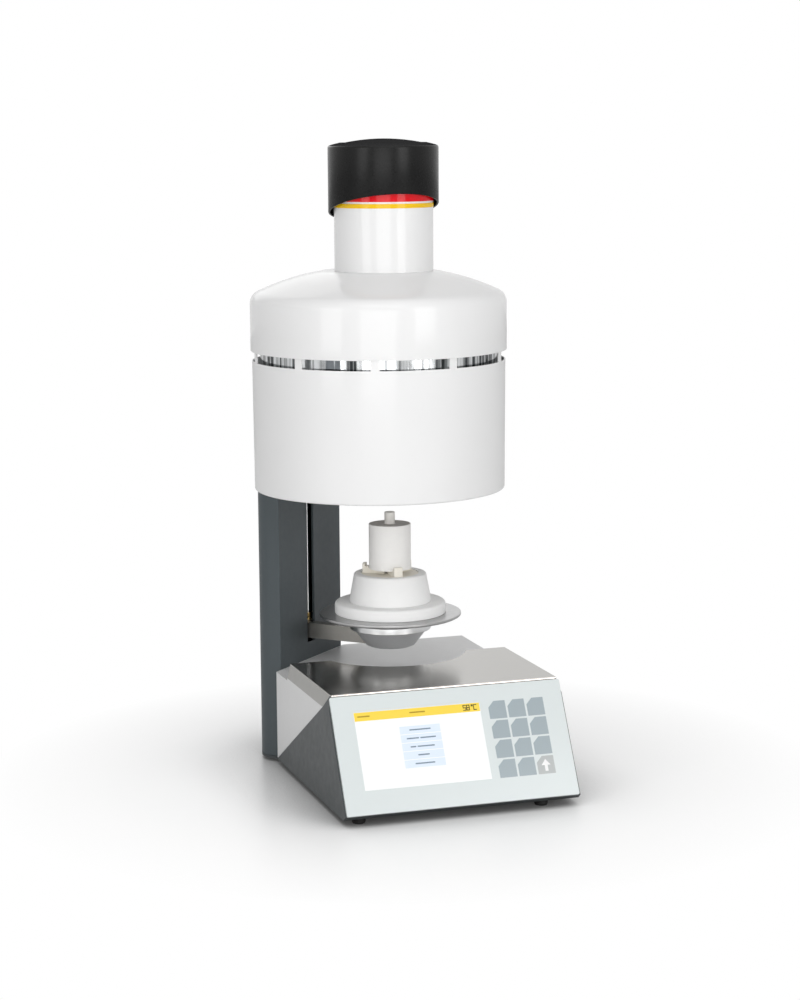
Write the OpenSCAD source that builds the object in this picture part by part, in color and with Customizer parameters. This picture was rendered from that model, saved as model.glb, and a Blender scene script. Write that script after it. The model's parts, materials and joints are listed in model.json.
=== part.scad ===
// Dental lab firing and pressing furnace: a lift table that carries an investment ring
// up into a round heating hood, on a slotted column behind a sloped control base.
// Millimetres. +Z is up and the control panel faces -Y.

/* [Base] */
// Width of the base
base_w = 287; // [260:1:320]
// Front foot of the base, measured from the table axis
base_front = 267; // [250:1:290]
// Rear wall of the base, measured from the table axis
base_rear = 139; // [130:1:160]
// Height of the rubber feet
foot_h = 7; // [5:0.5:12]
// Height of the rear deck above the bench
deck_z = 118; // [110:1:122]
// Height of the top sheet above the bench
top_z = 138.5; // [132:0.5:150]
// Thickness of the housing sheet
wall = 2; // [1.2:0.1:3]
// Inset of the chamfer strip along each top edge
strip_in = 4.2; // [2:0.1:10]
// Drop of the chamfer strip along each top edge
strip_drop = 16; // [10:1:18]
// Thickness of the stainless top sheet
top_t = 1.5; // [1:0.1:2.5]
// Rear edge of the top sheet, in front of the table axis
top_back = 34; // [30:1:40]
// Gap between the table edge and the bite in the top sheet
bite_gap = 6.5; // [4:0.5:10]

/* [Control panel] */
// Tilt of the panel from the horizontal, in degrees
panel_tilt = 61.2; // [58:0.1:64]
// Height of the panel's lower edge above the bench
chin_z = 12; // [10:0.5:16]
// Width of the glass pane
pane_w = 283; // [256:1:300]
// Length of the glass pane up the slope
pane_len = 140; // [136:0.5:142]
// Thickness of the glass pane
pane_t = 4; // [3:0.5:5]
// Width of the display window
display_w = 153.6; // [140:0.2:156]
// Height of the display window, and of the keypad
display_h = 92; // [84:0.5:96]
// Left margin of the display window on the pane
display_x = 25.4; // [20:0.2:30]
// Lower margin of the display window on the pane
display_y = 27.8; // [24:0.2:32]
// Left margin of the keypad on the pane
keys_x = 189.3; // [186:0.1:192]
// Side of one key field
key = 21.4; // [18:0.1:22]
// Gap between key fields across
key_gap = 2.4; // [1.5:0.1:3]
// Cut corner of each key field
key_cut = 7.4; // [4:0.1:9]

/* [Column] */
// Width of the column across its slotted face
col_w = 158; // [150:1:170]
// Depth of the column at its middle
col_d = 52; // [50:0.5:54]
// Straight depth of the column's sides
col_side = 15; // [12:1:20]
// Corner radius at the back of the column
col_corner = 24; // [18:1:26]
// Wall of the column extrusion
col_wall = 3.5; // [2.5:0.1:5]
// Distance of the slotted face from the table axis
col_dist = 113; // [110:0.5:118]
// Length of the column inside the hood
col_in_hood = 126.4; // [116:0.2:130]
// Width of the lift slot
slot_w = 18; // [16:0.5:22]
// Turn of the column about the vertical, in degrees
col_turn = 45; // [40:1:50]

/* [Lift table] */
// Underside of the lift arm above the bench
arm_z = 145; // [142:0.5:150]
// Height of the lift arm
arm_h = 19; // [14:0.5:22]
// Width of the lift arm
arm_w = 14; // [10:0.5:15]
// Upper face of the table plate above the arm's underside
plate_up = 42.3; // [40:0.1:48]
// Thickness of the table plate
plate_t = 4.4; // [3:0.1:6]
// Rim of the table plate beyond the insulation tier
plate_rim = 19; // [15:0.5:21]
// Radius of the flange ring under the plate
flange_r = 50.5; // [46:0.5:60]
// Height of the flange ring
flange_h = 16; // [12:0.5:18]
// Travel of the lift
lift_travel = 165.5; // [155:0.5:170]
// Lead of the lift screw
screw_lead = 4; // [2:1:8]

/* [Firing stack] */
// Step of the insulation tier beyond the cone
tier_step = 18; // [14:0.5:21]
// Height of the insulation tier
tier_h = 14.3; // [10:0.1:18]
// Taper of the insulation cone, in radius
cone_taper = 6.4; // [4:0.1:9]
// Wall of the cone round the tray's seat
seat_wall = 9.1; // [7:0.1:11]
// Height of the insulation cone
cone_h = 35.4; // [30:0.1:40]
// Rim of the firing tray beyond the ring
tray_rim = 8.7; // [7:0.1:10]
// Depth of the tray's seat in the cone
tray_seat = 7; // [5:0.1:9]
// Thickness of the firing tray's disc
tray_t = 6.2; // [4:0.1:9]
// Width of the tray's three arms
tray_arm_w = 11; // [8:0.5:14]
// Height of the tray's arms, which carry the ring
tray_arm_h = 6.2; // [4:0.1:8]
// Height of the lugs above the arms
lug_h = 5.8; // [4:0.1:9]
// Radius of the investment ring
ring_r = 26; // [22:0.5:27]
// Height of the investment ring
ring_h = 56.3; // [45:0.1:60]
// Radius of the press plunger
plunger_r = 6.5; // [5:0.1:7]
// Length of the press plunger
plunger_len = 42; // [34:0.5:46]
// Height of the plunger above the ring
plunger_up = 14.5; // [10:0.5:18]

/* [Hood] */
// Depth of the hood's rim below the chamber
rim_drop = 10.2; // [6:0.1:14]
// Radius of the hood at its lower rim
hood_r0 = 154.2; // [148:0.2:156]
// Radius of the hood's upper cover
hood_r1 = 157; // [156:0.2:160]
// Height of the lower shell, rim to cover
shell_h = 171; // [164:0.2:178]
// Height of the vent slots
vent_h = 12.2; // [8:0.1:14]
// Number of vent slots round the hood
vent_n = 10; // [8:1:12]
// Width of the bridges between vent slots, in degrees
vent_bridge = 3.8; // [2:0.1:8]
// Turn of the vent slots about the vertical, in degrees
vent_turn = 1.2; // [0:0.1:4]
// Straight height of the upper cover
cover_h = 57.4; // [52:0.2:62]
// Radius of the rounded shoulder
shoulder_r = 16; // [12:1:20]
// Rise of the crown from the cover's straight part to the neck
crown_h = 38.5; // [34:0.5:42]
// Sheet thickness of hood, cover and neck
skin = 1.5; // [1:0.1:2.5]

/* [Neck and cap] */
// Radius of the neck
neck_r = 60.3; // [56:0.1:63]
// Shift of the neck from the table axis toward the column
neck_shift = 5; // [0:0.5:8]
// Length of the neck
neck_h = 124.5; // [118:0.5:130]
// Lower edge of the yellow band above the crown
yellow_up = 77; // [72:0.5:80]
// Height of the yellow band
yellow_h = 5.3; // [4:0.1:6]
// White gap between the yellow and the red band
band_gap = 2.3; // [1:0.1:4]
// Overhang of the cap beyond the neck
cap_over = 6.9; // [5:0.1:9]
// Upper edge of the cap above the neck's end
cap_up = 26.3; // [22:0.1:32]
// Rise of the cap's domed top
cap_dome = 9.7; // [5:0.1:14]
// Height of the cap's skirt at the front
skirt_front = 56.3; // [50:0.1:62]
// Height of the cap's skirt at the back
skirt_back = 92.3; // [80:0.1:98]

/* [Heating chamber] */
// Gap between the firing tray and the quartz muffle
muffle_gap = 11.3; // [10.8:0.1:12.8]
// Wall of the quartz muffle
muffle_t = 3; // [2:0.5:4]
// Radius of the chamber insulation
insul_r = 98; // [90:1:100]
// Clear height of the chamber above the raised table
chamber_h = 137; // [132:1:142]
// Thickness of the insulation over the chamber
roof_t = 38; // [30:1:44]

/* [Hidden] */
$fn = 96;

eps = 0.01;       // overlap of cutting bodies past a face
far = 400;        // longer than any part, for cutting bodies
seam = 0.4;       // gap between neighbouring housing sheets
run_gap = 0.05;   // radial clearance of a running fit
seat_gap = 0.3;   // gap between a moving part and its seat

// Base outline: half widths and levels of the chamfered body
half_w = base_w / 2;
top_half = half_w - strip_in;
body_top = top_z - top_t;
bend_z = body_top - strip_drop;
chin_y = -base_front - 6.5;
front_top_y = chin_y + (body_top - chin_z) / tan(panel_tilt);
tub_z = foot_h;
floor_z = tub_z + wall;
seam_rear = 14;               // where the side seam meets the floor
seam_bend = front_top_y + 17; // where the side seam meets the bend

col_half = col_w / 2;

// Radii of the stack, from the ring outward; each seat has its clearance
ring_gap = 0.5;
tray_r = ring_r + ring_gap + tray_rim;
cone_r1 = tray_r + seat_gap + seat_wall;
cone_r0 = cone_r1 + cone_taper;
tier_r = cone_r0 + tier_step;
plate_r = tier_r + plate_rim;
muffle_r = tray_r + muffle_gap;
cap_r = neck_r + cap_over;
bite_r = plate_r + bite_gap;

// Levels of the stack on the table
plate_z = arm_z + plate_up;
tier_z = plate_z;
cone_z = tier_z + tier_h;
cone_top = cone_z + cone_h;
tray_z = cone_top - tray_seat;
tray_top = tray_z + tray_t + tray_arm_h;
ring_top = tray_top + ring_h;
plunger_top = ring_top + plunger_up;
plunger_travel = plunger_up - 0.5;
flange_z = plate_z - plate_t - flange_h;

// Levels inside the hood
cap_plate_t = 3;
seal_cord = 1.9;
seal_proud = 0.7;
chamber_z = plate_z + lift_travel + seat_gap + seal_proud;
ring_plate_t = 4.2;
insul_z = chamber_z + ring_plate_t;
chamber_top = chamber_z + chamber_h;
insul_top = chamber_top + roof_t;
tier_round = 4;
mouth_r = tier_r + 4;
seal_r = mouth_r + 6;
flange_out = seal_r + 25;
mouth_top = plate_z + lift_travel + tier_h + 3;
throat_top = mouth_top + cone_h + 2;
winding_t = 3.4;
casing_t = 1.5;
hood_z = chamber_z - rim_drop;
cover_z = hood_z + shell_h;
shoulder_z = cover_z + cover_h;
crown_z = shoulder_z + crown_h;
neck_top = crown_z + neck_h;
yellow_z = crown_z + yellow_up;
red_z = yellow_z + yellow_h + band_gap;
cap_z = neck_top + cap_up;
col_top = hood_z + col_in_hood;
chassis_z = col_top + cap_plate_t;
chassis_t = 5;
shield_gap = 9;                    // between the heat shield and the hood
shield_t = 0.8;
press_drop = 6;
press_z = shoulder_z - press_drop;
press_t = 5;
lower_shell_top = cover_z + 16;
lap_gap = 0.2;
lap_r = hood_r1 - skin - lap_gap;  // outside of the lower shell under the cover
ram_r = 8;
ram_tip_r = 6;
ram_hole_r = 9;
piston_r = 18;
ram_tip_z = chamber_top + 3;
ram_travel = ram_tip_z - (plunger_top + lift_travel - plunger_travel) - seat_gap;

// Lift drive inside the column, in the column's own frame
rail_w = 15;
rail_h = 10;
rail_back = 43;
rail_z0 = 100;
rail_z1 = col_top - 10;
block_w = 32;
block_len = 58.8;
block_h = 16;
carriage_back = rail_back - block_h;
carriage_t = 8;
screw_x = 31.5;
screw_y = 22;
screw_r = 5;
nut_r = 8;
boss_w = 26;
motor_side = 35.2;
motor_z0 = 9;
motor_h = 36;
motor_holes = 13;
bracket_t = 3;
bolt_x = 50;
bolt_y = 12;
rib_x = 14;
rib_t = 4;
rail_plate_t = 4;
slot_below = 6;
bearing_z = [88, col_top - 26];
bearing_t = 12;
arm_mid = arm_z + arm_h / 2;

// The hood's axis stands off the table's, so that the hood takes the column in
rim_in = 5;                        // inner edge of the folded rim, inside its outer edge
shell_gap = 1.4;                   // between the column's corners and the hood
hood_shift = col_dist + col_side
    - sqrt(pow(hood_r0 - skin - shell_gap - col_corner, 2) - pow(col_half - col_corner, 2));

// Cover: a shoulder and a crown arc that meet in one tangent and end at the neck's landing
landing = neck_r + abs(hood_shift - neck_shift) + 2;
shoulder_turn = 65;
crown_dx = landing - hood_r1 + shoulder_r;
crown_in = crown_dx * cos(shoulder_turn) + crown_h * sin(shoulder_turn);
crown_r = (crown_dx * crown_dx + crown_h * crown_h + shoulder_r * shoulder_r
    - 2 * shoulder_r * crown_in) / (2 * (shoulder_r - crown_in));

// Rear panel cut-outs, seen from behind
panel_t = 1.5;
screw_shank = 2;
fan_side = 60;
fan_hole = 24;
fan_x = 96;
fan_z = 66;
inlet_x = 20;
inlet_z = 52;
port_x = 52;
port_z = 34;
switch_y = -wall - 2.5;
switch_z = inlet_z + 24;
rocker_tip = 9;

// Centre of the outer size in X and Y, moved to the origin
col_left = col_point([-(col_half - col_corner), col_side])[0] - col_corner;
pane_front = chin_y - pane_t * sin(panel_tilt);
col_rear = col_point([col_half - col_corner, col_side])[1] + col_corner;
hood_x = -hood_shift * sin(col_turn);
hood_y = hood_shift * cos(col_turn);
centre_x = (max(half_w, hood_x + hood_r1) + min(-half_w, hood_x - hood_r1, col_left)) / 2;
centre_y = (max(base_rear, hood_y + hood_r1, col_rear) + pane_front) / 2;

function col_point(p) = let (q = [p[0], p[1] + col_dist])
    [q[0] * cos(col_turn) - q[1] * sin(col_turn), q[0] * sin(col_turn) + q[1] * cos(col_turn)];
function arc(c, r, a0, a1, n) = [for (i = [0 : n]) let (a = a0 + (a1 - a0) * i / n)
    [c[0] + r * cos(a), c[1] + r * sin(a)]];

module placed() { translate([-centre_x, -centre_y, 0]) children(); }
module at_column() { rotate(col_turn) translate([0, col_dist, 0]) children(); }
module off_axis(d) { translate([-d * sin(col_turn), d * cos(col_turn), 0]) children(); }
module on_panel() { translate([0, chin_y, chin_z]) rotate([panel_tilt, 0, 0]) children(); }
module along_x(w) { translate([-w / 2, 0, 0]) rotate([90, 0, 90]) linear_extrude(w) children(); }
module tube(r, t, h) { difference() { cylinder(r = r, h = h);
    translate([0, 0, -eps]) cylinder(r = r - t, h = h + 2 * eps); } }
module slab(x0, x1, y0, y1, z0, z1) { translate([x0, y0, z0]) cube([x1 - x0, y1 - y0, z1 - z0]); }
module ring_of(n, r, a0 = 0) { for (i = [0 : n - 1]) rotate(a0 + i * 360 / n)
    translate([r, 0, 0]) children(); }

// Housing cross-section in X and Z, shrunk by i on every side
module section(i) {
    w = half_w - i; t = top_half - i;
    polygon([[-w, tub_z + i], [w, tub_z + i], [w, bend_z - i / 2], [t, body_top - i],
        [-t, body_top - i], [-w, bend_z - i / 2]]);
}
module envelope(i) { translate([0, far, 0]) rotate([90, 0, 0]) linear_extrude(2 * far) section(i); }
// Everything on the table's side of the column face, g mm away from it
module before_column(g) { rotate(col_turn) slab(-far, far, -2 * far, col_dist - g, -1, far); }

// Dark lower half: side profile in Y and Z
module tub_profile() {
    polygon([[-base_front, tub_z], [chin_y, chin_z], [front_top_y, body_top],
        [front_top_y + 1.5, body_top], [seam_bend, bend_z], [seam_rear, floor_z],
        [base_rear, floor_z], [base_rear, tub_z]]);
}
module tub_inner() {
    s = wall / sin(panel_tilt);
    polygon([[-base_front + wall, floor_z], [chin_y + s, chin_z + wall / 2],
        [front_top_y + s + 0.6, body_top + 1], [far, body_top + 1], [far, floor_z]]);
}
module base_tub() {
    color([0.27, 0.29, 0.29]) placed() difference() {
        intersection() {
            envelope(0);
            along_x(base_w + 2) tub_profile();
            before_column(0);
        }
        intersection() { envelope(wall); along_x(base_w) tub_inner(); }
        on_panel() panel_windows(3 * wall);
        for (x = [-1, 1], i = [0 : 6]) slab(x * 70 - 22, x * 70 + 22, -150 + i * 9, -146 + i * 9, 0, 20);
        for (p = feet()) translate([p[0], p[1], 0]) cylinder(r = 2.2, h = far / 20);
    }
}
// Windows for the display and the keypad in the sloped frame
module panel_windows(depth) {
    x0 = -pane_w / 2;
    translate([x0 + display_x - 1, display_y - 1, -depth]) cube([display_w + 2, display_h + 2, 2 * depth]);
    translate([x0 + keys_x - 1, display_y - 1, -depth]) cube([3 * key + 2 * key_gap + 2, display_h + 2,
        2 * depth]);
}

// Light upper half: side profile in Y and Z
module housing_profile() {
    polygon([[front_top_y + 1.5 + seam, body_top], [seam_bend + seam, bend_z],
        [seam_rear + seam, floor_z + seam], [base_rear, floor_z + seam], [base_rear, deck_z],
        [-top_back, deck_z], [-top_back, body_top]]);
}
module housing_inner() {
    polygon([[front_top_y - far, body_top - wall], [front_top_y - far, 0], [base_rear - wall, 0],
        [base_rear - wall, deck_z - wall], [-top_back - wall, deck_z - wall],
        [-top_back - wall, body_top - wall]]);
}
module rear_housing() {
    color([0.80, 0.80, 0.80]) placed() {
        difference() {
            intersection() {
                envelope(0);
                along_x(base_w + 2) housing_profile();
                before_column(0);
            }
            translate([0, 0, deck_z]) cylinder(r = bite_r, h = far);
            difference() {
                intersection() {
                    envelope(wall);
                    along_x(base_w) housing_inner();
                    before_column(wall);
                }
                translate([0, 0, deck_z - wall]) cylinder(r = bite_r + wall, h = far);
            }
            slab(-4, half_w - 8, base_rear - 10, base_rear + 1, 20, 108);
            rear_screw_holes();
        }
        for (s = [-1, 1]) seam_flange(s);
    }
}
// Lap behind the side seam, which the lower half is screwed to
module seam_flange(s) {
    lap = 9;
    intersection() {
        translate([s * (half_w - wall - 0.75) - 0.75, 0, 0]) rotate([90, 0, 90])
            linear_extrude(1.5) polygon([[seam_bend + 2, bend_z - wall],
                [seam_bend + 2 + lap, bend_z - wall], [seam_rear + lap, floor_z + 2],
                [seam_rear - lap, floor_z + 2]]);
        before_column(seam);
    }
}

module top_plate() {
    color([0.72, 0.73, 0.74]) placed() {
        difference() {
            slab(-top_half + 0.3, top_half - 0.3, front_top_y - 1.2, -top_back + 0.8,
                body_top, top_z);
            translate([0, 0, body_top - 1]) cylinder(r = bite_r - 0.8, h = 5);
        }
        slab(-top_half + 0.3, top_half - 0.3, front_top_y - 2.7, front_top_y - 1.2,
            body_top - 1.2, top_z);
    }
}

module rear_panel() {
    color([0.78, 0.78, 0.78]) placed() difference() {
        slab(-10, half_w - wall - 0.5, base_rear - wall - panel_t, base_rear - wall,
            floor_z + 0.5, deck_z - wall - 0.5);
        rear_screw_holes();
        for (i = [0 : 4]) translate([fan_x, base_rear - 20, fan_z]) rotate([-90, 0, 0])
            fan_slots(8 + i * 4.6);
        slab(inlet_x - 14, inlet_x + 14, base_rear - 20, base_rear + 1, inlet_z - 24, inlet_z + 36);
        translate([port_x, base_rear - 20, port_z]) rotate([-90, 0, 0]) cylinder(r = 6.2, h = 30);
    }
}
// One ring of four curved air slots in the fan grille
module fan_slots(r) {
    for (a = [0 : 90 : 270]) rotate(a + 8) rotate_extrude(angle = 74)
        translate([r, 0]) square([2.6, 30]);
}

module front_glass() {
    color([0.88, 0.91, 0.90]) placed() on_panel() difference() {
        translate([-pane_w / 2, 0, 0]) cube([pane_w, pane_len, pane_t]);
        for (x = [-1, 1], y = [0, 1]) translate([x * pane_w / 2, y * pane_len, -1]) difference() {
            cube([4, 4, 4 * pane_t], center = true);
            translate([-2 * x, (1 - 2 * y) * 2, -far / 2]) cylinder(r = 2, h = far);
        }
    }
}

module display_module() {
    x0 = -pane_w / 2 + display_x;
    color([0.20, 0.22, 0.25]) placed() on_panel() {
        translate([x0, display_y, -8]) cube([display_w, display_h, 8]);
        translate([x0 - 5, display_y - 4, -16]) cube([display_w + 10, display_h + 8, 8]);
        translate([x0 + 30, display_y + 20, -19]) cube([display_w - 60, display_h - 40, 3]);
    }
}

// One key field: a square with its upper left corner cut off
module key_field(depth) {
    linear_extrude(depth) polygon([[0, 0], [key, 0], [key, key], [key_cut, key], [0, key - key_cut]]);
}
module key_pads() {
    pitch_x = key + key_gap;
    pitch_y = (display_h - key) / 3;
    color([0.67, 0.72, 0.76]) placed() on_panel() {
        for (i = [0 : 2], j = [0 : 3])
            translate([-pane_w / 2 + keys_x + i * pitch_x, display_y + j * pitch_y, -4]) key_field(4);
        translate([-pane_w / 2 + keys_x - 3, display_y - 3, -6])
            cube([2 * pitch_x + key + 6, display_h + 6, 2]);
    }
}

module control_board() {
    color([0.10, 0.35, 0.20]) placed() {
        slab(-110, 60, -130, 20, floor_z + 8, floor_z + 9.6);
        for (x = [-104, 54], y = [-124, 14]) translate([x, y, floor_z]) cylinder(r = 3, h = 8 + eps);
        slab(-90, -50, -100, -60, floor_z + 9.6, floor_z + 13);
        slab(-30, 10, -110, -84, floor_z + 9.6, floor_z + 22);
        for (i = [0 : 3]) translate([-80 + i * 22, -10, floor_z + 9.6]) cylinder(r = 8, h = 22);
        slab(30, 56, -70, -20, floor_z + 9.6, floor_z + 28);
    }
}

module power_supply() {
    color([0.70, 0.71, 0.72]) placed() difference() {
        slab(68, 134, -120, 60, floor_z, floor_z + 52);
        for (i = [0 : 9]) slab(80, 122, -108 + i * 16, -102 + i * 16, floor_z + 46, far);
    }
}

// Centres of the four feet; the fourth stands under the column
function feet() = [[-122, -base_front + 11], [101, -base_front + 11],
    [half_w - 20, base_rear - 16], col_point([0, 30])];
module rubber_feet() {
    color([0.07, 0.07, 0.07]) placed() for (i = [0 : 3]) {
        p = feet()[i];
        h = i < 3 ? tub_z : column_z0();
        translate([p[0], p[1], 0]) difference() {
            rotate_extrude() polygon([[0, 0], [7.2, 0], [7.8, h * 0.22], [8.2, h * 0.3],
                [7.6, h * 0.42], [8.2, h * 0.54], [7.6, h * 0.66], [8.2, h * 0.78], [8.2, h], [0, h]]);
            translate([0, 0, -eps]) cylinder(r = 3.2, h = 1.5);
        }
    }
}
function column_z0() = tub_z - 3;

// Appliance inlet with its fuse drawer and the frame of the power switch
module mains_inlet() {
    color([0.10, 0.10, 0.11]) placed() translate([inlet_x, base_rear, inlet_z]) difference() {
        union() {
            slab(-17, 17, -wall, -wall + 2.5, -28, 40);
            slab(-13.5, 13.5, -32, -wall + eps, -23.5, 35.5);
        }
        slab(-12, 12, -18, 3, -20, -2);
        slab(-11, 11, -14, 3, 14, 34);
        slab(-9, 9, -3.2, 3, 2, 8);
        translate([-12.5, switch_y, switch_z - inlet_z]) rotate([0, 90, 0])
            cylinder(r = 1.5 + run_gap, h = 25);
    }
    color([0.78, 0.70, 0.40]) placed() translate([inlet_x, base_rear, inlet_z]) {
        for (x = [-7, 7]) slab(x - 1, x + 1, -18 - eps, -6, -13, -9);
        slab(-1, 1, -18 - eps, -6, -8, -4);
    }
}
// Rocker of the power switch, tipped to off, on its pin between the frame's cheeks
module power_switch() {
    color([0.06, 0.06, 0.06]) placed() translate([inlet_x, base_rear + switch_y, switch_z])
        rotate([rocker_tip, 0, 0]) {
            rotate([90, 0, 90]) translate([0, 0, -10.4]) linear_extrude(20.8)
                polygon([[4.6, -8.2], [3, 0], [4.6, 8.2], [0, 8.8], [-5, 4], [-6.5, 0], [-5, -4],
                    [0, -8.8]]);
            rotate([0, 90, 0]) translate([0, 0, -12]) cylinder(r = 1.5, h = 24);
        }
}

module vacuum_port() {
    color([0.80, 0.66, 0.35]) placed() translate([port_x, base_rear - wall, port_z])
        rotate([-90, 0, 0]) difference() {
            rotate_extrude() polygon([[0, -16], [6, -16], [6, -5], [8.4, -5], [8.4, -panel_t],
                [6, -panel_t], [6, 0], [9, 0], [9, 4], [4.2, 4.5], [4.2, 7], [5.2, 7.4], [4.2, 11],
                [5.2, 11.4], [4.2, 15], [5.2, 15.4], [3.8, 20], [0, 20]]);
            translate([0, 0, -20]) cylinder(r = 2.4, h = 60);
        }
}

module fan_frame() {
    y1 = base_rear - wall - panel_t;
    color([0.12, 0.12, 0.13]) placed() difference() {
        slab(fan_x - fan_side / 2, fan_x + fan_side / 2, y1 - 20, y1, fan_z - fan_side / 2,
            fan_z + fan_side / 2);
        translate([fan_x, y1 - 17, fan_z]) rotate([-90, 0, 0]) cylinder(r = 28, h = 40);
        translate([fan_x, y1 - 40, fan_z]) rotate([-90, 0, 0]) difference() {
            cylinder(r = 28, h = 60);
            translate([0, 0, -1]) cylinder(r = 13, h = 62);
            for (a = [0 : 120 : 240]) rotate(a) translate([0, -2.5, -1]) cube([30, 5, 62]);
        }
        translate([fan_x, y1 - 40, fan_z]) rotate([-90, 0, 0]) cylinder(r = 2 + run_gap, h = 60);
        rear_screw_holes();
    }
}
module fan_rotor() {
    y1 = base_rear - wall - panel_t;
    color([0.16, 0.16, 0.17]) placed() translate([fan_x, y1 - 16, fan_z]) rotate([-90, 0, 0]) {
        cylinder(r = 13, h = 13);
        translate([0, 0, -3.5]) cylinder(r = 2, h = 4);
        for (a = [0 : 360 / 7 : 359]) rotate(a) translate([12, 0, 1.5]) rotate([35, 0, 0])
            translate([0, -1, 0]) cube([14.5, 2, 10]);
    }
}

// Screws seen from behind: across, height and depth of the face that they clamp
function rear_screws() = concat(
    [for (x = [-fan_hole, fan_hole], z = [-fan_hole, fan_hole]) [fan_x + x, fan_z + z, -wall]],
    [for (x = [inlet_x - 4, fan_x + 20]) [x, deck_z - 4.8, 0]],
    [for (x = [inlet_x - 4, port_x + 8]) [x, 15.5, 0]]);
module rear_screw_holes() {
    for (p = rear_screws()) translate([p[0], base_rear - far / 2, p[1]]) rotate([-90, 0, 0])
        cylinder(r = screw_shank + run_gap, h = far);
}
module panel_screws() {
    color([0.75, 0.76, 0.78]) placed() for (p = rear_screws())
        translate([p[0], base_rear + p[2], p[1]]) rotate([-90, 0, 0]) difference() {
            union() {
                cylinder(r1 = 4, r2 = 3, h = 1.6);
                translate([0, 0, -8]) cylinder(r = screw_shank, h = 8);
            }
            translate([0, 0, 0.6]) cylinder(r = 1.1, h = 2, $fn = 6);
        }
}

// Inner radius of the lower shell at a level
function shell_in(z) = hood_r0 - skin
    + (lap_r - hood_r0) * (z - hood_z - skin) / (cover_z - hood_z - skin);

// Column outline, g mm inside the outer face: flat front, round corners and a bowed back
// that is tangent to both corners and reaches col_d at the middle
back_off = col_half - col_corner;
back_rise = col_d - col_side - col_corner;
back_turn = 90 - 2 * atan2(back_rise, back_off);
back_r = (back_off * back_off + back_rise * back_rise) / (2 * back_rise) + col_corner;
module column_outline(g) {
    intersection() {
        translate([-far / 2, g]) square(far);
        union() {
            translate([g - col_half, -far / 2]) square([col_w - 2 * g, far / 2 + col_side]);
            for (s = [-1, 1]) translate([s * back_off, col_side]) circle(r = col_corner - g);
            translate([0, col_d - back_r]) intersection() {
                circle(r = back_r - g);
                polygon([[0, 0], [far / tan(back_turn), far], [-far / tan(back_turn), far]]);
            }
        }
    }
}

module column_profile() {
    color([0.29, 0.32, 0.34]) placed() at_column() difference() {
        translate([0, 0, tub_z]) linear_extrude(col_top - tub_z) difference() {
            column_outline(0);
            difference() {
                column_outline(col_wall);
                for (s = [-1, 1]) translate([s * rib_x - rib_t / 2, rail_back + rail_plate_t])
                    square([rib_t, col_d]);
            }
        }
        slab(-slot_w / 2, slot_w / 2, -1, col_wall + 1, arm_z - slot_below, 2 * far);
    }
}
module column_foot_plate() {
    color([0.25, 0.27, 0.28]) placed() at_column() translate([0, 0, column_z0()])
        linear_extrude(3) column_outline(0);
}
module column_cap() {
    color([0.25, 0.27, 0.28]) placed() at_column() difference() {
        union() {
            translate([0, 0, col_top]) linear_extrude(cap_plate_t) column_outline(0);
            for (s = [-1, 1]) slab(s * bolt_x - 10, s * bolt_x + 10, col_wall, bolt_y + 14,
                col_top - 14, col_top);
        }
        for (s = [-1, 1]) translate([s * bolt_x, bolt_y, col_top - 20]) cylinder(r = 2.6, h = 40);
    }
}

module rail_plate() {
    color([0.55, 0.56, 0.58]) placed() at_column()
        slab(-19, 19, rail_back, rail_back + rail_plate_t, rail_z0 - 6, rail_z1 + 4);
}
module linear_rail() {
    g = 2.2;
    color([0.66, 0.67, 0.69]) placed() at_column() difference() {
        translate([0, 0, rail_z0]) linear_extrude(rail_z1 - rail_z0)
            polygon([[-rail_w / 2, rail_back], [-rail_w / 2, rail_back - 4],
                [-rail_w / 2 + g, rail_back - 6], [-rail_w / 2, rail_back - 8],
                [-rail_w / 2, rail_back - rail_h], [rail_w / 2, rail_back - rail_h],
                [rail_w / 2, rail_back - 8], [rail_w / 2 - g, rail_back - 6],
                [rail_w / 2, rail_back - 4], [rail_w / 2, rail_back]]);
        for (i = [0 : 8]) translate([0, rail_back - rail_h - 1, rail_z0 + 20 + i * 40])
            rotate([-90, 0, 0]) { cylinder(r = 3, h = 5); cylinder(r = 1.75, h = 12); }
    }
}
module rail_block() {
    s = seat_gap;
    color([0.60, 0.62, 0.64]) placed() at_column() difference() {
        slab(-block_w / 2, block_w / 2, carriage_back, rail_back - 3, arm_mid - block_len / 2,
            arm_mid + block_len / 2);
        slab(-rail_w / 2 - s, rail_w / 2 + s, rail_back - rail_h - s, rail_back + 1, 0, far);
    }
}
module lift_carriage() {
    color([0.70, 0.71, 0.73]) placed() at_column() difference() {
        union() {
            slab(-24, screw_x - boss_w / 2 + eps, carriage_back - carriage_t, carriage_back,
                arm_mid - 30, arm_mid + 30);
            slab(screw_x - boss_w / 2, screw_x + boss_w / 2, screw_y - boss_w / 2,
                screw_y + boss_w / 2, arm_mid - 7, arm_mid + 7);
        }
        translate([screw_x, screw_y, 0]) cylinder(r = nut_r, h = far);
    }
}
module lead_nut() {
    color([0.78, 0.62, 0.32]) placed() at_column() translate([screw_x, screw_y, 0]) difference() {
        union() {
            translate([0, 0, arm_mid - 11]) cylinder(r = 12.5, h = 4);
            translate([0, 0, arm_mid - 7]) cylinder(r = nut_r, h = 22);
        }
        cylinder(r = screw_r + run_gap, h = far);
        for (a = [45 : 90 : 315]) rotate(a) translate([10.2, 0, 0]) cylinder(r = 1.2, h = far / 2);
    }
}
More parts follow.
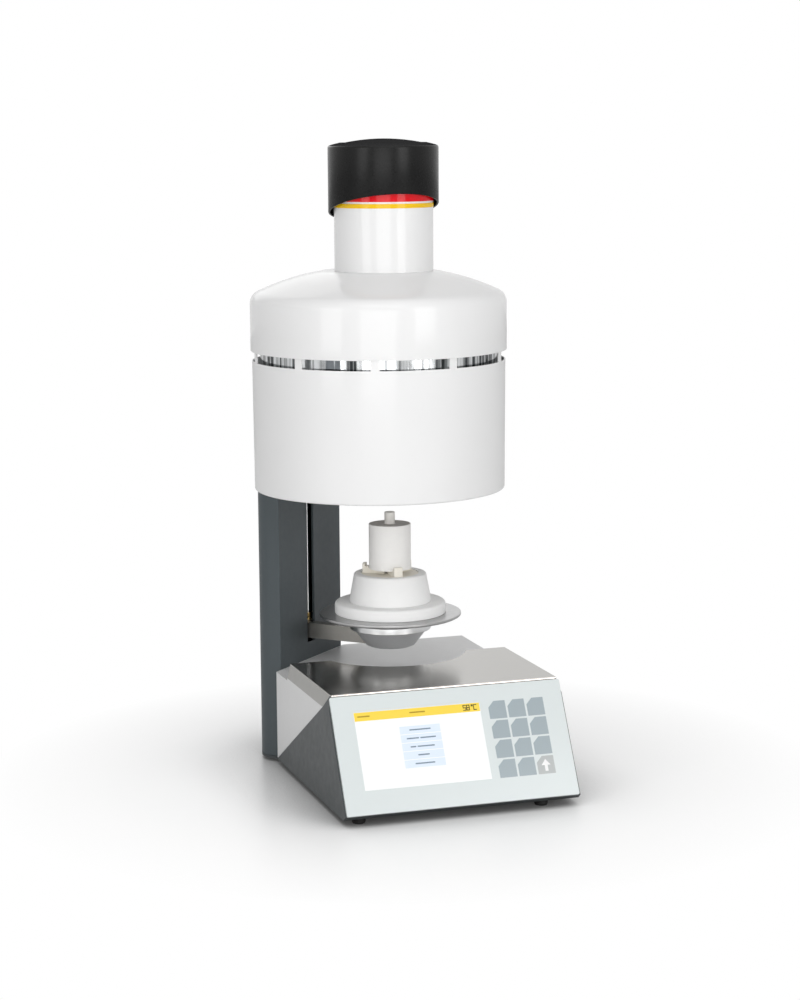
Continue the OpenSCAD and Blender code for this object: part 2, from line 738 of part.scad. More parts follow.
module lead_screw() {
    z0 = motor_z0 + motor_h + 16;
    z1 = bearing_z[1] + bearing_t;
    color([0.74, 0.75, 0.77]) placed() at_column() translate([screw_x, screw_y, 0]) rotate_extrude()
        polygon([[0, z0], [3.2, z0], [4, z0 + 0.8], [4, bearing_z[0] + bearing_t],
            [screw_r, bearing_z[0] + bearing_t + 1], [screw_r, bearing_z[1] - 1],
            [4, bearing_z[1]], [4, z1], [0, z1]]);
}
module screw_bearings() {
    color([0.50, 0.52, 0.54]) placed() at_column() for (z = bearing_z) difference() {
        union() {
            slab(screw_x - 14, screw_x + 14, col_wall, screw_y + 8, z, z + bearing_t);
            translate([screw_x, screw_y, z]) cylinder(r = 14, h = bearing_t);
        }
        translate([screw_x, screw_y, z - 1]) cylinder(r = 4 + run_gap, h = bearing_t + 2);
        for (s = [-1, 1]) translate([screw_x + 9 * s, col_wall - 1, z + bearing_t / 2])
            rotate([-90, 0, 0]) cylinder(r = 1.6, h = 12);
    }
}
module motor_bracket() {
    z = motor_z0 + motor_h;
    color([0.62, 0.63, 0.65]) placed() at_column() difference() {
        union() {
            slab(screw_x - 19, screw_x + 19, col_wall, screw_y + 17, z, z + bracket_t);
            slab(screw_x - 19, screw_x + 19, col_wall, col_wall + bracket_t, z, z + 22);
        }
        translate([screw_x, screw_y, z - 1]) cylinder(r = 11.2, h = bracket_t + 2);
        for (x = [-motor_holes, motor_holes], y = [-motor_holes, motor_holes])
            translate([screw_x + x, screw_y + y, z - 1]) cylinder(r = 1.7, h = bracket_t + 2);
    }
}
module lift_motor() {
    m = motor_side / 2;
    color([0.16, 0.16, 0.18]) placed() at_column() translate([screw_x, screw_y, motor_z0]) {
        difference() {
            translate([-m, -m, 0]) cube([motor_side, motor_side, motor_h]);
            for (x = [-m, m], y = [-m, m]) translate([x, y, 9]) rotate(45)
                cube([6, 6, 2 * (motor_h - 18)], center = true);
        }
        translate([0, 0, motor_h]) cylinder(r = 11, h = 2);
    }
}
module shaft_coupling() {
    z = motor_z0 + motor_h;
    color([0.72, 0.73, 0.76]) placed() at_column() translate([screw_x, screw_y, 0]) difference() {
        union() {
            translate([0, 0, z + 2 + seat_gap]) cylinder(r = 2.5, h = 6);
            translate([0, 0, z + 5]) cylinder(r = 9.5, h = 24);
        }
        translate([0, 0, z + 16]) cylinder(r = 4, h = far / 4);
        translate([-15, 0.6, z + 12]) cube([30, 15, 1]);
        translate([-15, -15.6, z + 22]) cube([30, 15, 1]);
    }
}

// Arm from the carriage, through the slot, to the eye under the table
module lift_arm() {
    color([0.62, 0.63, 0.64]) placed() difference() {
        union() {
            at_column() slab(-arm_w / 2, arm_w / 2, -col_dist, carriage_back - carriage_t, arm_z,
                arm_z + arm_h);
            translate([0, 0, arm_z - 1]) cylinder(r = 17, h = flange_z - arm_z + 1);
        }
        ring_of(4, 11.5) translate([0, 0, arm_z - 2]) cylinder(r = 2.4, h = 8);
    }
}
module table_bowl() {
    h = flange_z - arm_z;
    color([0.75, 0.76, 0.77]) placed() difference() {
        translate([0, 0, arm_z]) rotate_extrude() polygon([[20, 0.2], [27, 0.2], [31, 2], [46, h],
            [42, h], [29, 4], [26.5, 2.2], [20, 2.2]]);
        at_column() slab(-arm_w / 2 - seat_gap, arm_w / 2 + seat_gap, -col_dist, 20,
            arm_z - 1, arm_z + arm_h + seat_gap);
    }
}
module flange_ring() {
    z1 = plate_z - plate_t;
    color([0.72, 0.73, 0.74]) placed() rotate_extrude()
        polygon([[0, flange_z], [flange_r - 1, flange_z], [flange_r, flange_z + 1],
            [flange_r, z1 - 8], [flange_r - 6, z1 - 5], [flange_r - 6, z1], [0, z1]]);
}
module table_plate() {
    z0 = plate_z - plate_t;
    color([0.78, 0.79, 0.80]) placed() rotate_extrude()
        polygon([[0, z0], [plate_r - 3, z0], [plate_r, z0 + 1.4], [plate_r, plate_z - 0.8],
            [plate_r - 0.8, plate_z], [0, plate_z]]);
}

module insulation_tier() {
    color([0.93, 0.93, 0.92]) placed() translate([0, 0, tier_z]) rotate_extrude()
        polygon(concat([[0, 0], [tier_r - 1, 0], [tier_r, 1]],
            arc([tier_r - tier_round, tier_h - tier_round], tier_round, 0, 90, 8),
            [[0, tier_h]]));
}
module insulation_cone() {
    color([0.94, 0.94, 0.93]) placed() translate([0, 0, cone_z]) rotate_extrude()
        polygon(concat([[0, 0], [cone_r0 - 1, 0], [cone_r0, 1], [cone_r0 - 0.6, 4]],
            arc([cone_r1 - 2.5, cone_h - 2.5], 2.5, 10, 90, 6),
            [[tray_r + seat_gap, cone_h], [tray_r + seat_gap, cone_h - tray_seat],
                [0, cone_h - tray_seat]]));
}
// Tray: a disc in the cone's seat with three arms, whose stepped lugs hold the ring upright
module firing_tray() {
    lug_t = 3.4;
    lug_step = 2.1;
    in_r = ring_r + ring_gap;
    out_r = tray_r - 0.8;
    half = tray_arm_w / 2;
    color([0.92, 0.90, 0.84]) placed() {
        translate([0, 0, tray_z]) cylinder(r = tray_r, h = tray_t);
        intersection() {
            cylinder(r = out_r, h = far);
            for (a = [-90 : 120 : 150]) rotate(a) {
                slab(-half, far, -half, half, tray_z + tray_t - eps, tray_top);
                slab(in_r, far, -half, half, tray_top - eps, tray_top + lug_step);
                slab(max(in_r, out_r - lug_t), far, -half, half, tray_top - eps, tray_top + lug_h);
            }
        }
    }
}
module investment_ring() {
    color([0.95, 0.95, 0.94]) placed() translate([0, 0, tray_top]) rotate_extrude()
        polygon([[0, 0], [ring_r - 0.8, 0], [ring_r - 0.4, 0.6], [ring_r, ring_h - 0.8],
            [ring_r - 0.8, ring_h], [plunger_r + run_gap + 1, ring_h],
            [plunger_r + run_gap, ring_h - 1], [plunger_r + run_gap, ring_h - plunger_len],
            [0, ring_h - plunger_len]]);
}
module press_plunger() {
    color([0.96, 0.96, 0.95]) placed() translate([0, 0, plunger_top - plunger_len]) rotate_extrude()
        polygon([[0, 0], [plunger_r - 1, 0], [plunger_r, 1], [plunger_r, plunger_len - 0.7],
            [plunger_r - 0.7, plunger_len], [0, plunger_len]]);
}

// Room for the column, g mm wider than it
module column_room(g, z0, z1) {
    at_column() translate([0, 0, z0]) linear_extrude(z1 - z0)
        column_outline(-g);
}
module chassis_plate() {
    color([0.68, 0.69, 0.70]) placed() translate([0, 0, chassis_z]) difference() {
        off_axis(hood_shift) cylinder(r = shell_in(chassis_z) - seat_gap, h = chassis_t);
        translate([0, 0, -1]) cylinder(r = insul_r + casing_t + 1, h = chassis_t + 2);
        at_column() for (s = [-1, 1]) translate([s * bolt_x, bolt_y, -1]) cylinder(r = 2.7, h = 10);
        off_axis(hood_shift) ring_of(6, 133, 15) translate([0, 0, -1])
            cylinder(r = 7, h = chassis_t + 2);
    }
}
module chassis_bolts() {
    color([0.55, 0.56, 0.58]) placed() at_column() for (s = [-1, 1])
        translate([s * bolt_x, bolt_y, 0]) {
        difference() {
            translate([0, 0, chassis_z + chassis_t]) cylinder(r = 4.5, h = 5);
            translate([0, 0, chassis_z + chassis_t + 2]) cylinder(r = 2.6, h = 5, $fn = 6);
        }
        translate([0, 0, col_top - 12]) cylinder(r = 2.5, h = chassis_z + chassis_t - col_top + 12.1);
    }
}

module hood_lower_shell() {
    arc_deg = 360 / vent_n - vent_bridge;
    color([0.94, 0.94, 0.94]) placed() difference() {
        off_axis(hood_shift) difference() {
            rotate_extrude() polygon([[hood_r0 - rim_in, hood_z], [hood_r0 - 0.6, hood_z],
                [hood_r0, hood_z + 0.8], [lap_r, cover_z], [lap_r, lower_shell_top],
                [lap_r - skin, lower_shell_top], [lap_r - skin, cover_z],
                [hood_r0 - skin, hood_z + skin], [hood_r0 - rim_in, hood_z + skin]]);
            for (i = [0 : vent_n - 1]) rotate(-90 - vent_turn - arc_deg / 2 + i * 360 / vent_n)
                translate([0, 0, cover_z - vent_h]) rotate_extrude(angle = arc_deg)
                    translate([lap_r - 4, 0]) square([8, vent_h + 1]);
        }
        intersection() {
            column_room(shell_gap, hood_z - 1, hood_z + 2 * skin);
            off_axis(hood_shift) cylinder(r = hood_r0 - skin - seat_gap, h = far);
        }
    }
}
// Section of the cover in radius and height, g mm inside the outer face
module cover_section(g) {
    intersection() {
        translate([0, cover_z - g]) square([hood_r1 - g, crown_z - cover_z]);
        union() {
            square([hood_r1, shoulder_z]);
            translate([hood_r1 - shoulder_r, shoulder_z]) {
                circle(r = shoulder_r - g);
                translate([(shoulder_r - crown_r) * cos(shoulder_turn),
                    (shoulder_r - crown_r) * sin(shoulder_turn)]) intersection() {
                    circle(r = crown_r - g);
                    polygon([[0, 0], [far, far * tan(shoulder_turn)],
                        [-far, far * tan(shoulder_turn)], [-far, 0]]);
                }
            }
        }
    }
}
module hood_cover() {
    spigot_r = neck_r - skin - 0.1;
    color([0.94, 0.94, 0.94]) placed() difference() {
        union() {
            off_axis(hood_shift) rotate_extrude() difference() {
                cover_section(0);
                cover_section(skin);
            }
            off_axis(neck_shift) translate([0, 0, crown_z - skin / 2]) cylinder(r = spigot_r, h = 10);
        }
        off_axis(neck_shift) translate([0, 0, crown_z - 10]) cylinder(r = spigot_r - skin, h = 30);
    }
}
module hood_floor() {
    r = shell_in(insul_z) - seat_gap;
    color([0.80, 0.80, 0.80]) placed() difference() {
        off_axis(hood_shift) translate([0, 0, insul_z]) cylinder(r = r, h = 1.2);
        cylinder(r = insul_r + casing_t + seat_gap, h = far);
        column_room(shell_gap, hood_z, chassis_z);
    }
}

module chamber_flange() {
    g = 2.1;
    color([0.70, 0.71, 0.72]) placed() translate([0, 0, chamber_z]) rotate_extrude()
        polygon([[mouth_r, 0], [seal_r - g, 0], [seal_r - g, 3.2], [seal_r + g, 3.2],
            [seal_r + g, 0], [flange_out - 1, 0], [flange_out, 1], [flange_out, ring_plate_t],
            [mouth_r, ring_plate_t]]);
}
module seal_ring() {
    color([0.60, 0.22, 0.16]) placed() translate([0, 0, chamber_z - seal_proud + seal_cord])
        rotate_extrude() translate([seal_r, 0]) circle(r = seal_cord, $fn = 32);
}
module chamber_casing() {
    r = insul_r + casing_t;
    z_top = insul_top + casing_t;
    zc = chassis_z + chassis_t;
    foot = 7;
    color([0.74, 0.75, 0.76]) placed() difference() {
        rotate_extrude() polygon([[insul_r, insul_z], [r, insul_z], [r, zc], [r + foot, zc],
            [r + foot, zc + 2], [r, zc + 2], [r, z_top], [0, z_top], [0, insul_top],
            [insul_r, insul_top]]);
        translate([0, 0, insul_top - 1]) cylinder(r = ram_hole_r, h = 5);
        translate([28, 0, insul_top - 1]) cylinder(r = 3.2, h = 5);
    }
}
module chamber_insulation() {
    bore = muffle_r + muffle_t + winding_t + 0.6;
    color([0.93, 0.92, 0.90]) placed() difference() {
        rotate_extrude() polygon([[mouth_r, insul_z], [insul_r - 0.2, insul_z],
            [insul_r - 0.2, insul_top - 0.1], [ram_hole_r, insul_top - 0.1], [ram_hole_r, chamber_top],
            [bore, chamber_top], [bore, throat_top], [muffle_r + 1, throat_top],
            [cone_r0 + 3, mouth_top], [mouth_r, mouth_top]]);
        translate([28, 0, chamber_top - 1]) cylinder(r = 3.2, h = far);
    }
}
module quartz_muffle() {
    color([0.90, 0.88, 0.84]) placed() translate([0, 0, throat_top])
        tube(muffle_r + muffle_t, muffle_t, chamber_top - throat_top - 0.3);
}
// Heating wire wound round the muffle, as its ribbed envelope
module heater_winding() {
    n = 12;
    r0 = muffle_r + muffle_t + 0.3;
    z0 = throat_top + 4;
    p = (chamber_top - throat_top - 8) / n;
    color([0.45, 0.40, 0.38]) placed() rotate_extrude() polygon(concat([[r0, z0]],
        [for (i = [0 : n - 1], k = [0 : 3]) [r0 + (k < 2 ? winding_t : winding_t - 1.6),
            z0 + (i + [0, 0.5, 0.6, 0.9][k]) * p]], [[r0, z0 + n * p]]));
}
module thermocouple() {
    color([0.80, 0.78, 0.72]) placed() translate([28, 0, chamber_top - 12]) {
        cylinder(r = 2.5, h = insul_top + casing_t - chamber_top + 12 + eps);
        translate([0, 0, insul_top + casing_t - chamber_top + 12]) cylinder(r = 7, h = 14);
    }
}
module heat_shield() {
    color([0.80, 0.81, 0.82]) placed() off_axis(hood_shift) translate([0, 0, chassis_z + chassis_t])
        tube(lap_r - skin - shield_gap, shield_t, press_z - chassis_z - chassis_t);
}
module standoffs() {
    color([0.66, 0.67, 0.69]) placed() off_axis(hood_shift) ring_of(4, 126)
        translate([0, 0, chassis_z + chassis_t]) cylinder(r = 5, h = press_z - chassis_z - chassis_t);
}
module press_plate() {
    color([0.68, 0.69, 0.70]) placed() translate([0, 0, press_z]) difference() {
        off_axis(hood_shift) cylinder(r = hood_r1 - skin - seat_gap, h = press_t);
        translate([0, 0, -1]) cylinder(r = 16, h = press_t + 2);
        off_axis(hood_shift) ring_of(8, 90, 22.5) translate([0, 0, -1])
            cylinder(r = 20, h = press_t + 2);
    }
}
// Pneumatic cylinder of the press, standing in the neck
module press_cylinder() {
    z0 = press_z + press_t;
    z1 = z0 + 114;
    zb = ram_piston_z() - ram_travel - 6;
    color([0.60, 0.62, 0.65]) placed() rotate_extrude() polygon([[ram_r + run_gap, z0 - 6],
        [15.6, z0 - 6], [15.6, z0], [46, z0], [46, z0 + 7], [26, z0 + 7], [24, z0 + 12],
        [24, z1 - 12], [27, z1 - 10], [27, z1], [0, z1], [0, z1 - 8], [piston_r + run_gap, z1 - 8],
        [piston_r + run_gap, zb], [ram_r + run_gap, zb]]);
}
function ram_piston_z() = press_z + press_t + 90;
module press_ram() {
    z0 = ram_tip_z;
    zs = insul_top + casing_t + 12;
    zp = ram_piston_z();
    color([0.78, 0.79, 0.81]) placed() rotate_extrude() polygon([[0, z0], [ram_tip_r - 1, z0],
        [ram_tip_r, z0 + 1], [ram_tip_r, zs], [ram_r, zs + 1], [ram_r, zp], [piston_r, zp],
        [piston_r, zp + 3], [piston_r - 1.5, zp + 3.5], [piston_r - 1.5, zp + 6.5],
        [piston_r, zp + 7], [piston_r, zp + 12], [0, zp + 12]]);
}

module neck_tube() {
    color([0.94, 0.94, 0.94]) placed() off_axis(neck_shift) translate([0, 0, crown_z])
        tube(neck_r, skin, neck_top - crown_z);
}
module yellow_band() {
    color([0.96, 0.78, 0.12]) placed() off_axis(neck_shift) translate([0, 0, yellow_z]) difference() {
        cylinder(r = neck_r + 0.5, h = yellow_h);
        translate([0, 0, -1]) cylinder(r = neck_r, h = yellow_h + 2);
    }
}
module red_band() {
    color([0.85, 0.10, 0.12]) placed() off_axis(neck_shift) translate([0, 0, red_z]) difference() {
        cylinder(r = neck_r + 0.9, h = neck_top - red_z - 6);
        translate([0, 0, -1]) cylinder(r = neck_r, h = far);
    }
}
// Cap: a skirt cut on the slant, a domed top and four ribs that stand on the neck
module top_cap() {
    t = 2.4;
    z0 = cap_z - 2 * skirt_back;
    dome_r = (cap_r * cap_r + cap_dome * cap_dome) / (2 * cap_dome);
    inset = 50;
    color([0.12, 0.12, 0.13]) placed() off_axis(neck_shift) difference() {
        union() {
            difference() {
                rotate_extrude() polygon(concat([[0, z0], [cap_r, z0], [cap_r, cap_z - 3]],
                    arc([cap_r - 3, cap_z - 3], 3, 0, 75, 6),
                    [for (i = [0 : 12]) let (r = (cap_r - 6) * (1 - i / 12))
                        [r, cap_z + cap_dome - dome_r + sqrt(dome_r * dome_r - r * r)]]));
                rotate_extrude() polygon([[0, z0 - 1], [cap_r - t, z0 - 1], [cap_r - t, cap_z - 4],
                    [cap_r - 8, cap_z - t], [0, cap_z - t]]);
            }
            for (a = [0 : 90 : 270]) rotate(a) translate([neck_r - 14, -1.5, neck_top])
                cube([cap_r - t - neck_r + 14 + eps, 3, cap_z - neck_top - 2]);
        }
        translate([0, 0, cap_z + 1.6]) tube(inset + 1.2, 1.2, 20);
        translate([0, 0, cap_z - (skirt_front + skirt_back) / 2])
            rotate([-atan2(skirt_back - skirt_front, 2 * cap_r), 0, 0])
                translate([-far / 2, -far / 2, -far]) cube([far, far, far]);
    }
}

base_tub();
rear_housing();
top_plate();
rear_panel();
front_glass();
display_module();
key_pads();
control_board();
power_supply();
rubber_feet();
mains_inlet();
power_switch();
vacuum_port();
fan_frame();
fan_rotor();
panel_screws();
column_profile();
column_foot_plate();
column_cap();
rail_plate();
linear_rail();
rail_block();
lift_carriage();
lead_nut();
lead_screw();
screw_bearings();
motor_bracket();
lift_motor();
shaft_coupling();
lift_arm();
table_bowl();
flange_ring();
table_plate();
insulation_tier();
insulation_cone();
firing_tray();
investment_ring();
press_plunger();
chassis_plate();
chassis_bolts();
hood_lower_shell();
hood_cover();
hood_floor();
chamber_flange();
seal_ring();
chamber_casing();
chamber_insulation();
quartz_muffle();
heater_winding();
thermocouple();
heat_shield();
standoffs();
press_plate();
press_cylinder();
press_ram();
neck_tube();
yellow_band();
red_band();
top_cap();
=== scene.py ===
"""Visual model of the dental firing and pressing furnace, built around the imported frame."""
import json
import math

import bpy
import bmesh
from mathutils import Matrix, Vector


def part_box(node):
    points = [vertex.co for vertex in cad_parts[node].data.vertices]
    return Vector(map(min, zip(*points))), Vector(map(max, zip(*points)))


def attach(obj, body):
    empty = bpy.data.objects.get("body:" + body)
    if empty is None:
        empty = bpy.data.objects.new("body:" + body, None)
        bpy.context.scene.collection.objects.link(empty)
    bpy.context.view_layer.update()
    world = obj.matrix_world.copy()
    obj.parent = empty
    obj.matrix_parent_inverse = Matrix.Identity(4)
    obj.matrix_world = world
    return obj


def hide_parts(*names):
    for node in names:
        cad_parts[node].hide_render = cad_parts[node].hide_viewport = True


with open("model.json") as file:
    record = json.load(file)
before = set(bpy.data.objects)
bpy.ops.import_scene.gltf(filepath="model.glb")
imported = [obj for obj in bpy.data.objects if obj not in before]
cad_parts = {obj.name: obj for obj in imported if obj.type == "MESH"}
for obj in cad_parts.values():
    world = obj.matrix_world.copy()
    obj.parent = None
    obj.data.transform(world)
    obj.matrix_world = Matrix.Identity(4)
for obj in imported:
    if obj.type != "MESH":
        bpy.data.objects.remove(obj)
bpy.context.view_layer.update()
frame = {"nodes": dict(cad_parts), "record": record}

MM = 0.001  # lengths below are in mm unless a comment says otherwise
NODES = frame["nodes"]
SLOT_OF = {s["node"]: s["material_slot"] for s in frame["record"]["subparts"]}


def middle(node):
    """Middle of a CAD node in plan."""
    low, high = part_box(node)
    return (low.x + high.x) / 2 / MM, (low.y + high.y) / 2 / MM


def span(node):
    """Lowest and highest level of a CAD node, to a hundredth."""
    return tuple(round(corner.z / MM, 2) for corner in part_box(node))


AXIS_X, AXIS_Y = middle("table_plate")  # the table axis, which outlines and offsets start from


def off_axis(node):
    x, y = middle(node)
    return x - AXIS_X, y - AXIS_Y


HOOD = off_axis("hood_cover")
NECK = off_axis("neck_tube")

# Camera, solved from the photo
YAW, PITCH, ROLL = (math.radians(a) for a in (18.04, 8.9, -0.41))
CAMERA_AT = Vector((-880.4 + AXIS_X, -2745.2 + AXIS_Y, 779.1)) * MM
SENSOR, LENS = 36, 84.97
NEAREST, FARTHEST = 0.1, 50  # clipping, in metres


def make_camera():
    ahead = Vector((math.sin(YAW) * math.cos(PITCH), math.cos(YAW) * math.cos(PITCH),
                    -math.sin(PITCH)))
    right = Vector((math.cos(YAW), -math.sin(YAW), 0))
    up = right.cross(ahead)
    side = math.cos(ROLL) * right + math.sin(ROLL) * up
    top = -math.sin(ROLL) * right + math.cos(ROLL) * up
    data = bpy.data.cameras.new("camera")
    data.sensor_width, data.lens = SENSOR, LENS
    data.clip_start, data.clip_end = NEAREST, FARTHEST
    cam = bpy.data.objects.new("camera", data)
    bpy.context.scene.collection.objects.link(cam)
    turn = Matrix((side, top, -ahead)).transposed().to_4x4()
    cam.matrix_world = Matrix.Translation(CAMERA_AT) @ turn
    bpy.context.scene.camera = cam


make_camera()
bpy.context.scene.view_settings.view_transform = "Standard"

# Shader tools


def node_of(tree, kind, **values):
    n = tree.nodes.new("ShaderNode" + kind)
    for k, v in values.items():
        setattr(n, k, v)
    return n


def shader_of(material):
    return material.node_tree.nodes["Principled BSDF"]


def noise(tree, size_mm, stretch=(1, 1, 1), detail=3.0):
    """A noise whose features are about size_mm across, in the object's own space."""
    co = node_of(tree, "TexCoord")
    scale = node_of(tree, "Mapping")
    scale.inputs["Scale"].default_value = stretch
    tex = node_of(tree, "TexNoise")
    tex.inputs["Scale"].default_value = 1 / (size_mm * MM)
    tex.inputs["Detail"].default_value = detail
    tree.links.new(co.outputs["Object"], scale.inputs["Vector"])
    tree.links.new(scale.outputs["Vector"], tex.inputs["Vector"])
    return tex.outputs["Fac"]


def spread(tree, fac, low_to, high_to, low_from=0.3, high_from=0.7):
    """Maps a range of a value, by default where a noise mostly lies, to another range."""
    r = node_of(tree, "MapRange")
    tree.links.new(fac, r.inputs["Value"])
    for key, v in zip(("From Min", "From Max", "To Min", "To Max"),
                      (low_from, high_from, low_to, high_to)):
        r.inputs[key].default_value = v
    return r.outputs["Result"]


def mixed(tree, fac, first, second):
    """A colour between two, from the first at 0 to the second at 1."""
    mix = node_of(tree, "Mix", data_type="RGBA")
    tree.links.new(fac, mix.inputs["Factor"])
    mix.inputs["A"].default_value = list(first) + [1]
    mix.inputs["B"].default_value = list(second) + [1]
    return mix.outputs["Result"]


def relief(tree, height, depth_mm):
    """Bends the surface's normals by a height between 0 and 1."""
    n = node_of(tree, "Bump")
    n.inputs["Distance"].default_value = depth_mm * MM
    tree.links.new(height, n.inputs["Height"])
    tree.links.new(n.outputs["Normal"], tree.nodes["Principled BSDF"].inputs["Normal"])


def surface(name, color, rough=0.5, metal=0.0, coat=0.0, coat_rough=0.05, tint=0.02, tint_mm=30,
            rough_by=0.04, rough_mm=8, bump=0.0, bump_mm=0.8, stretch=(1, 1, 1), specular=0.5):
    """A procedural material: colour variation, roughness variation and a fine relief."""
    m = bpy.data.materials.new(name)
    m.use_nodes = True
    t = m.node_tree
    b = shader_of(m)
    b.inputs["Metallic"].default_value = metal
    b.inputs["Coat Weight"].default_value = coat
    b.inputs["Coat Roughness"].default_value = coat_rough
    b.inputs["Specular IOR Level"].default_value = specular
    dark = [c * (1 - tint) for c in color]
    light = [min(1, c * (1 + tint)) for c in color]
    t.links.new(mixed(t, noise(t, tint_mm, stretch), dark, light), b.inputs["Base Color"])
    smoothest = max(0.02, rough - rough_by)
    t.links.new(spread(t, noise(t, rough_mm, stretch), smoothest, rough + rough_by),
                b.inputs["Roughness"])
    if bump:
        relief(t, noise(t, bump_mm, stretch, 4), bump)
    return m


def turned(name, color, rough, pitch_mm, bump):
    """Metal turned on a lathe: fine rings about the table axis."""
    m = surface(name, color, rough, 1.0, rough_by=0.03, tint=0.03, tint_mm=20)
    t = m.node_tree
    co = node_of(t, "TexCoord")
    shift = node_of(t, "Mapping")
    shift.inputs["Location"].default_value = (-AXIS_X * MM, -AXIS_Y * MM, 0)
    flat = node_of(t, "Mapping")
    flat.inputs["Scale"].default_value = (1, 1, 0)
    length = node_of(t, "VectorMath", operation="LENGTH")
    tex = node_of(t, "TexNoise", noise_dimensions="1D")
    tex.inputs["Scale"].default_value = 1 / (pitch_mm * MM)
    tex.inputs["Detail"].default_value = 3
    t.links.new(co.outputs["Object"], shift.inputs["Vector"])
    t.links.new(shift.outputs["Vector"], flat.inputs["Vector"])
    t.links.new(flat.outputs["Vector"], length.inputs[0])
    t.links.new(length.outputs["Value"], tex.inputs["W"])
    relief(t, tex.outputs["Fac"], bump)
    return m


def reflection_streaked(name, dark, light, rough, pitch_mm):
    """Bright sheet metal with upright streaks of painted reflection, dark and light, in its colour.
    """
    m = surface(name, light, rough, 1.0)
    t = m.node_tree
    # Painted reflection: dark and light streaks in the base colour stand in for the surroundings
    # that the sheet mirrors
    painted_reflections = spread(t, noise(t, pitch_mm, (1, 1, 0.02), 2), 0, 1, 0.40, 0.60)
    t.links.new(mixed(t, painted_reflections, dark, light), shader_of(m).inputs["Base Color"])
    return m


def glowing(name, color, strength):
    """A field of the display, lit or printed, under its glossy cover."""
    m = surface(name, color, tint=0.004, **UNDER_GLASS)
    b = shader_of(m)
    b.inputs["Emission Color"].default_value = list(color) + [1]
    b.inputs["Emission Strength"].default_value = strength
    return m


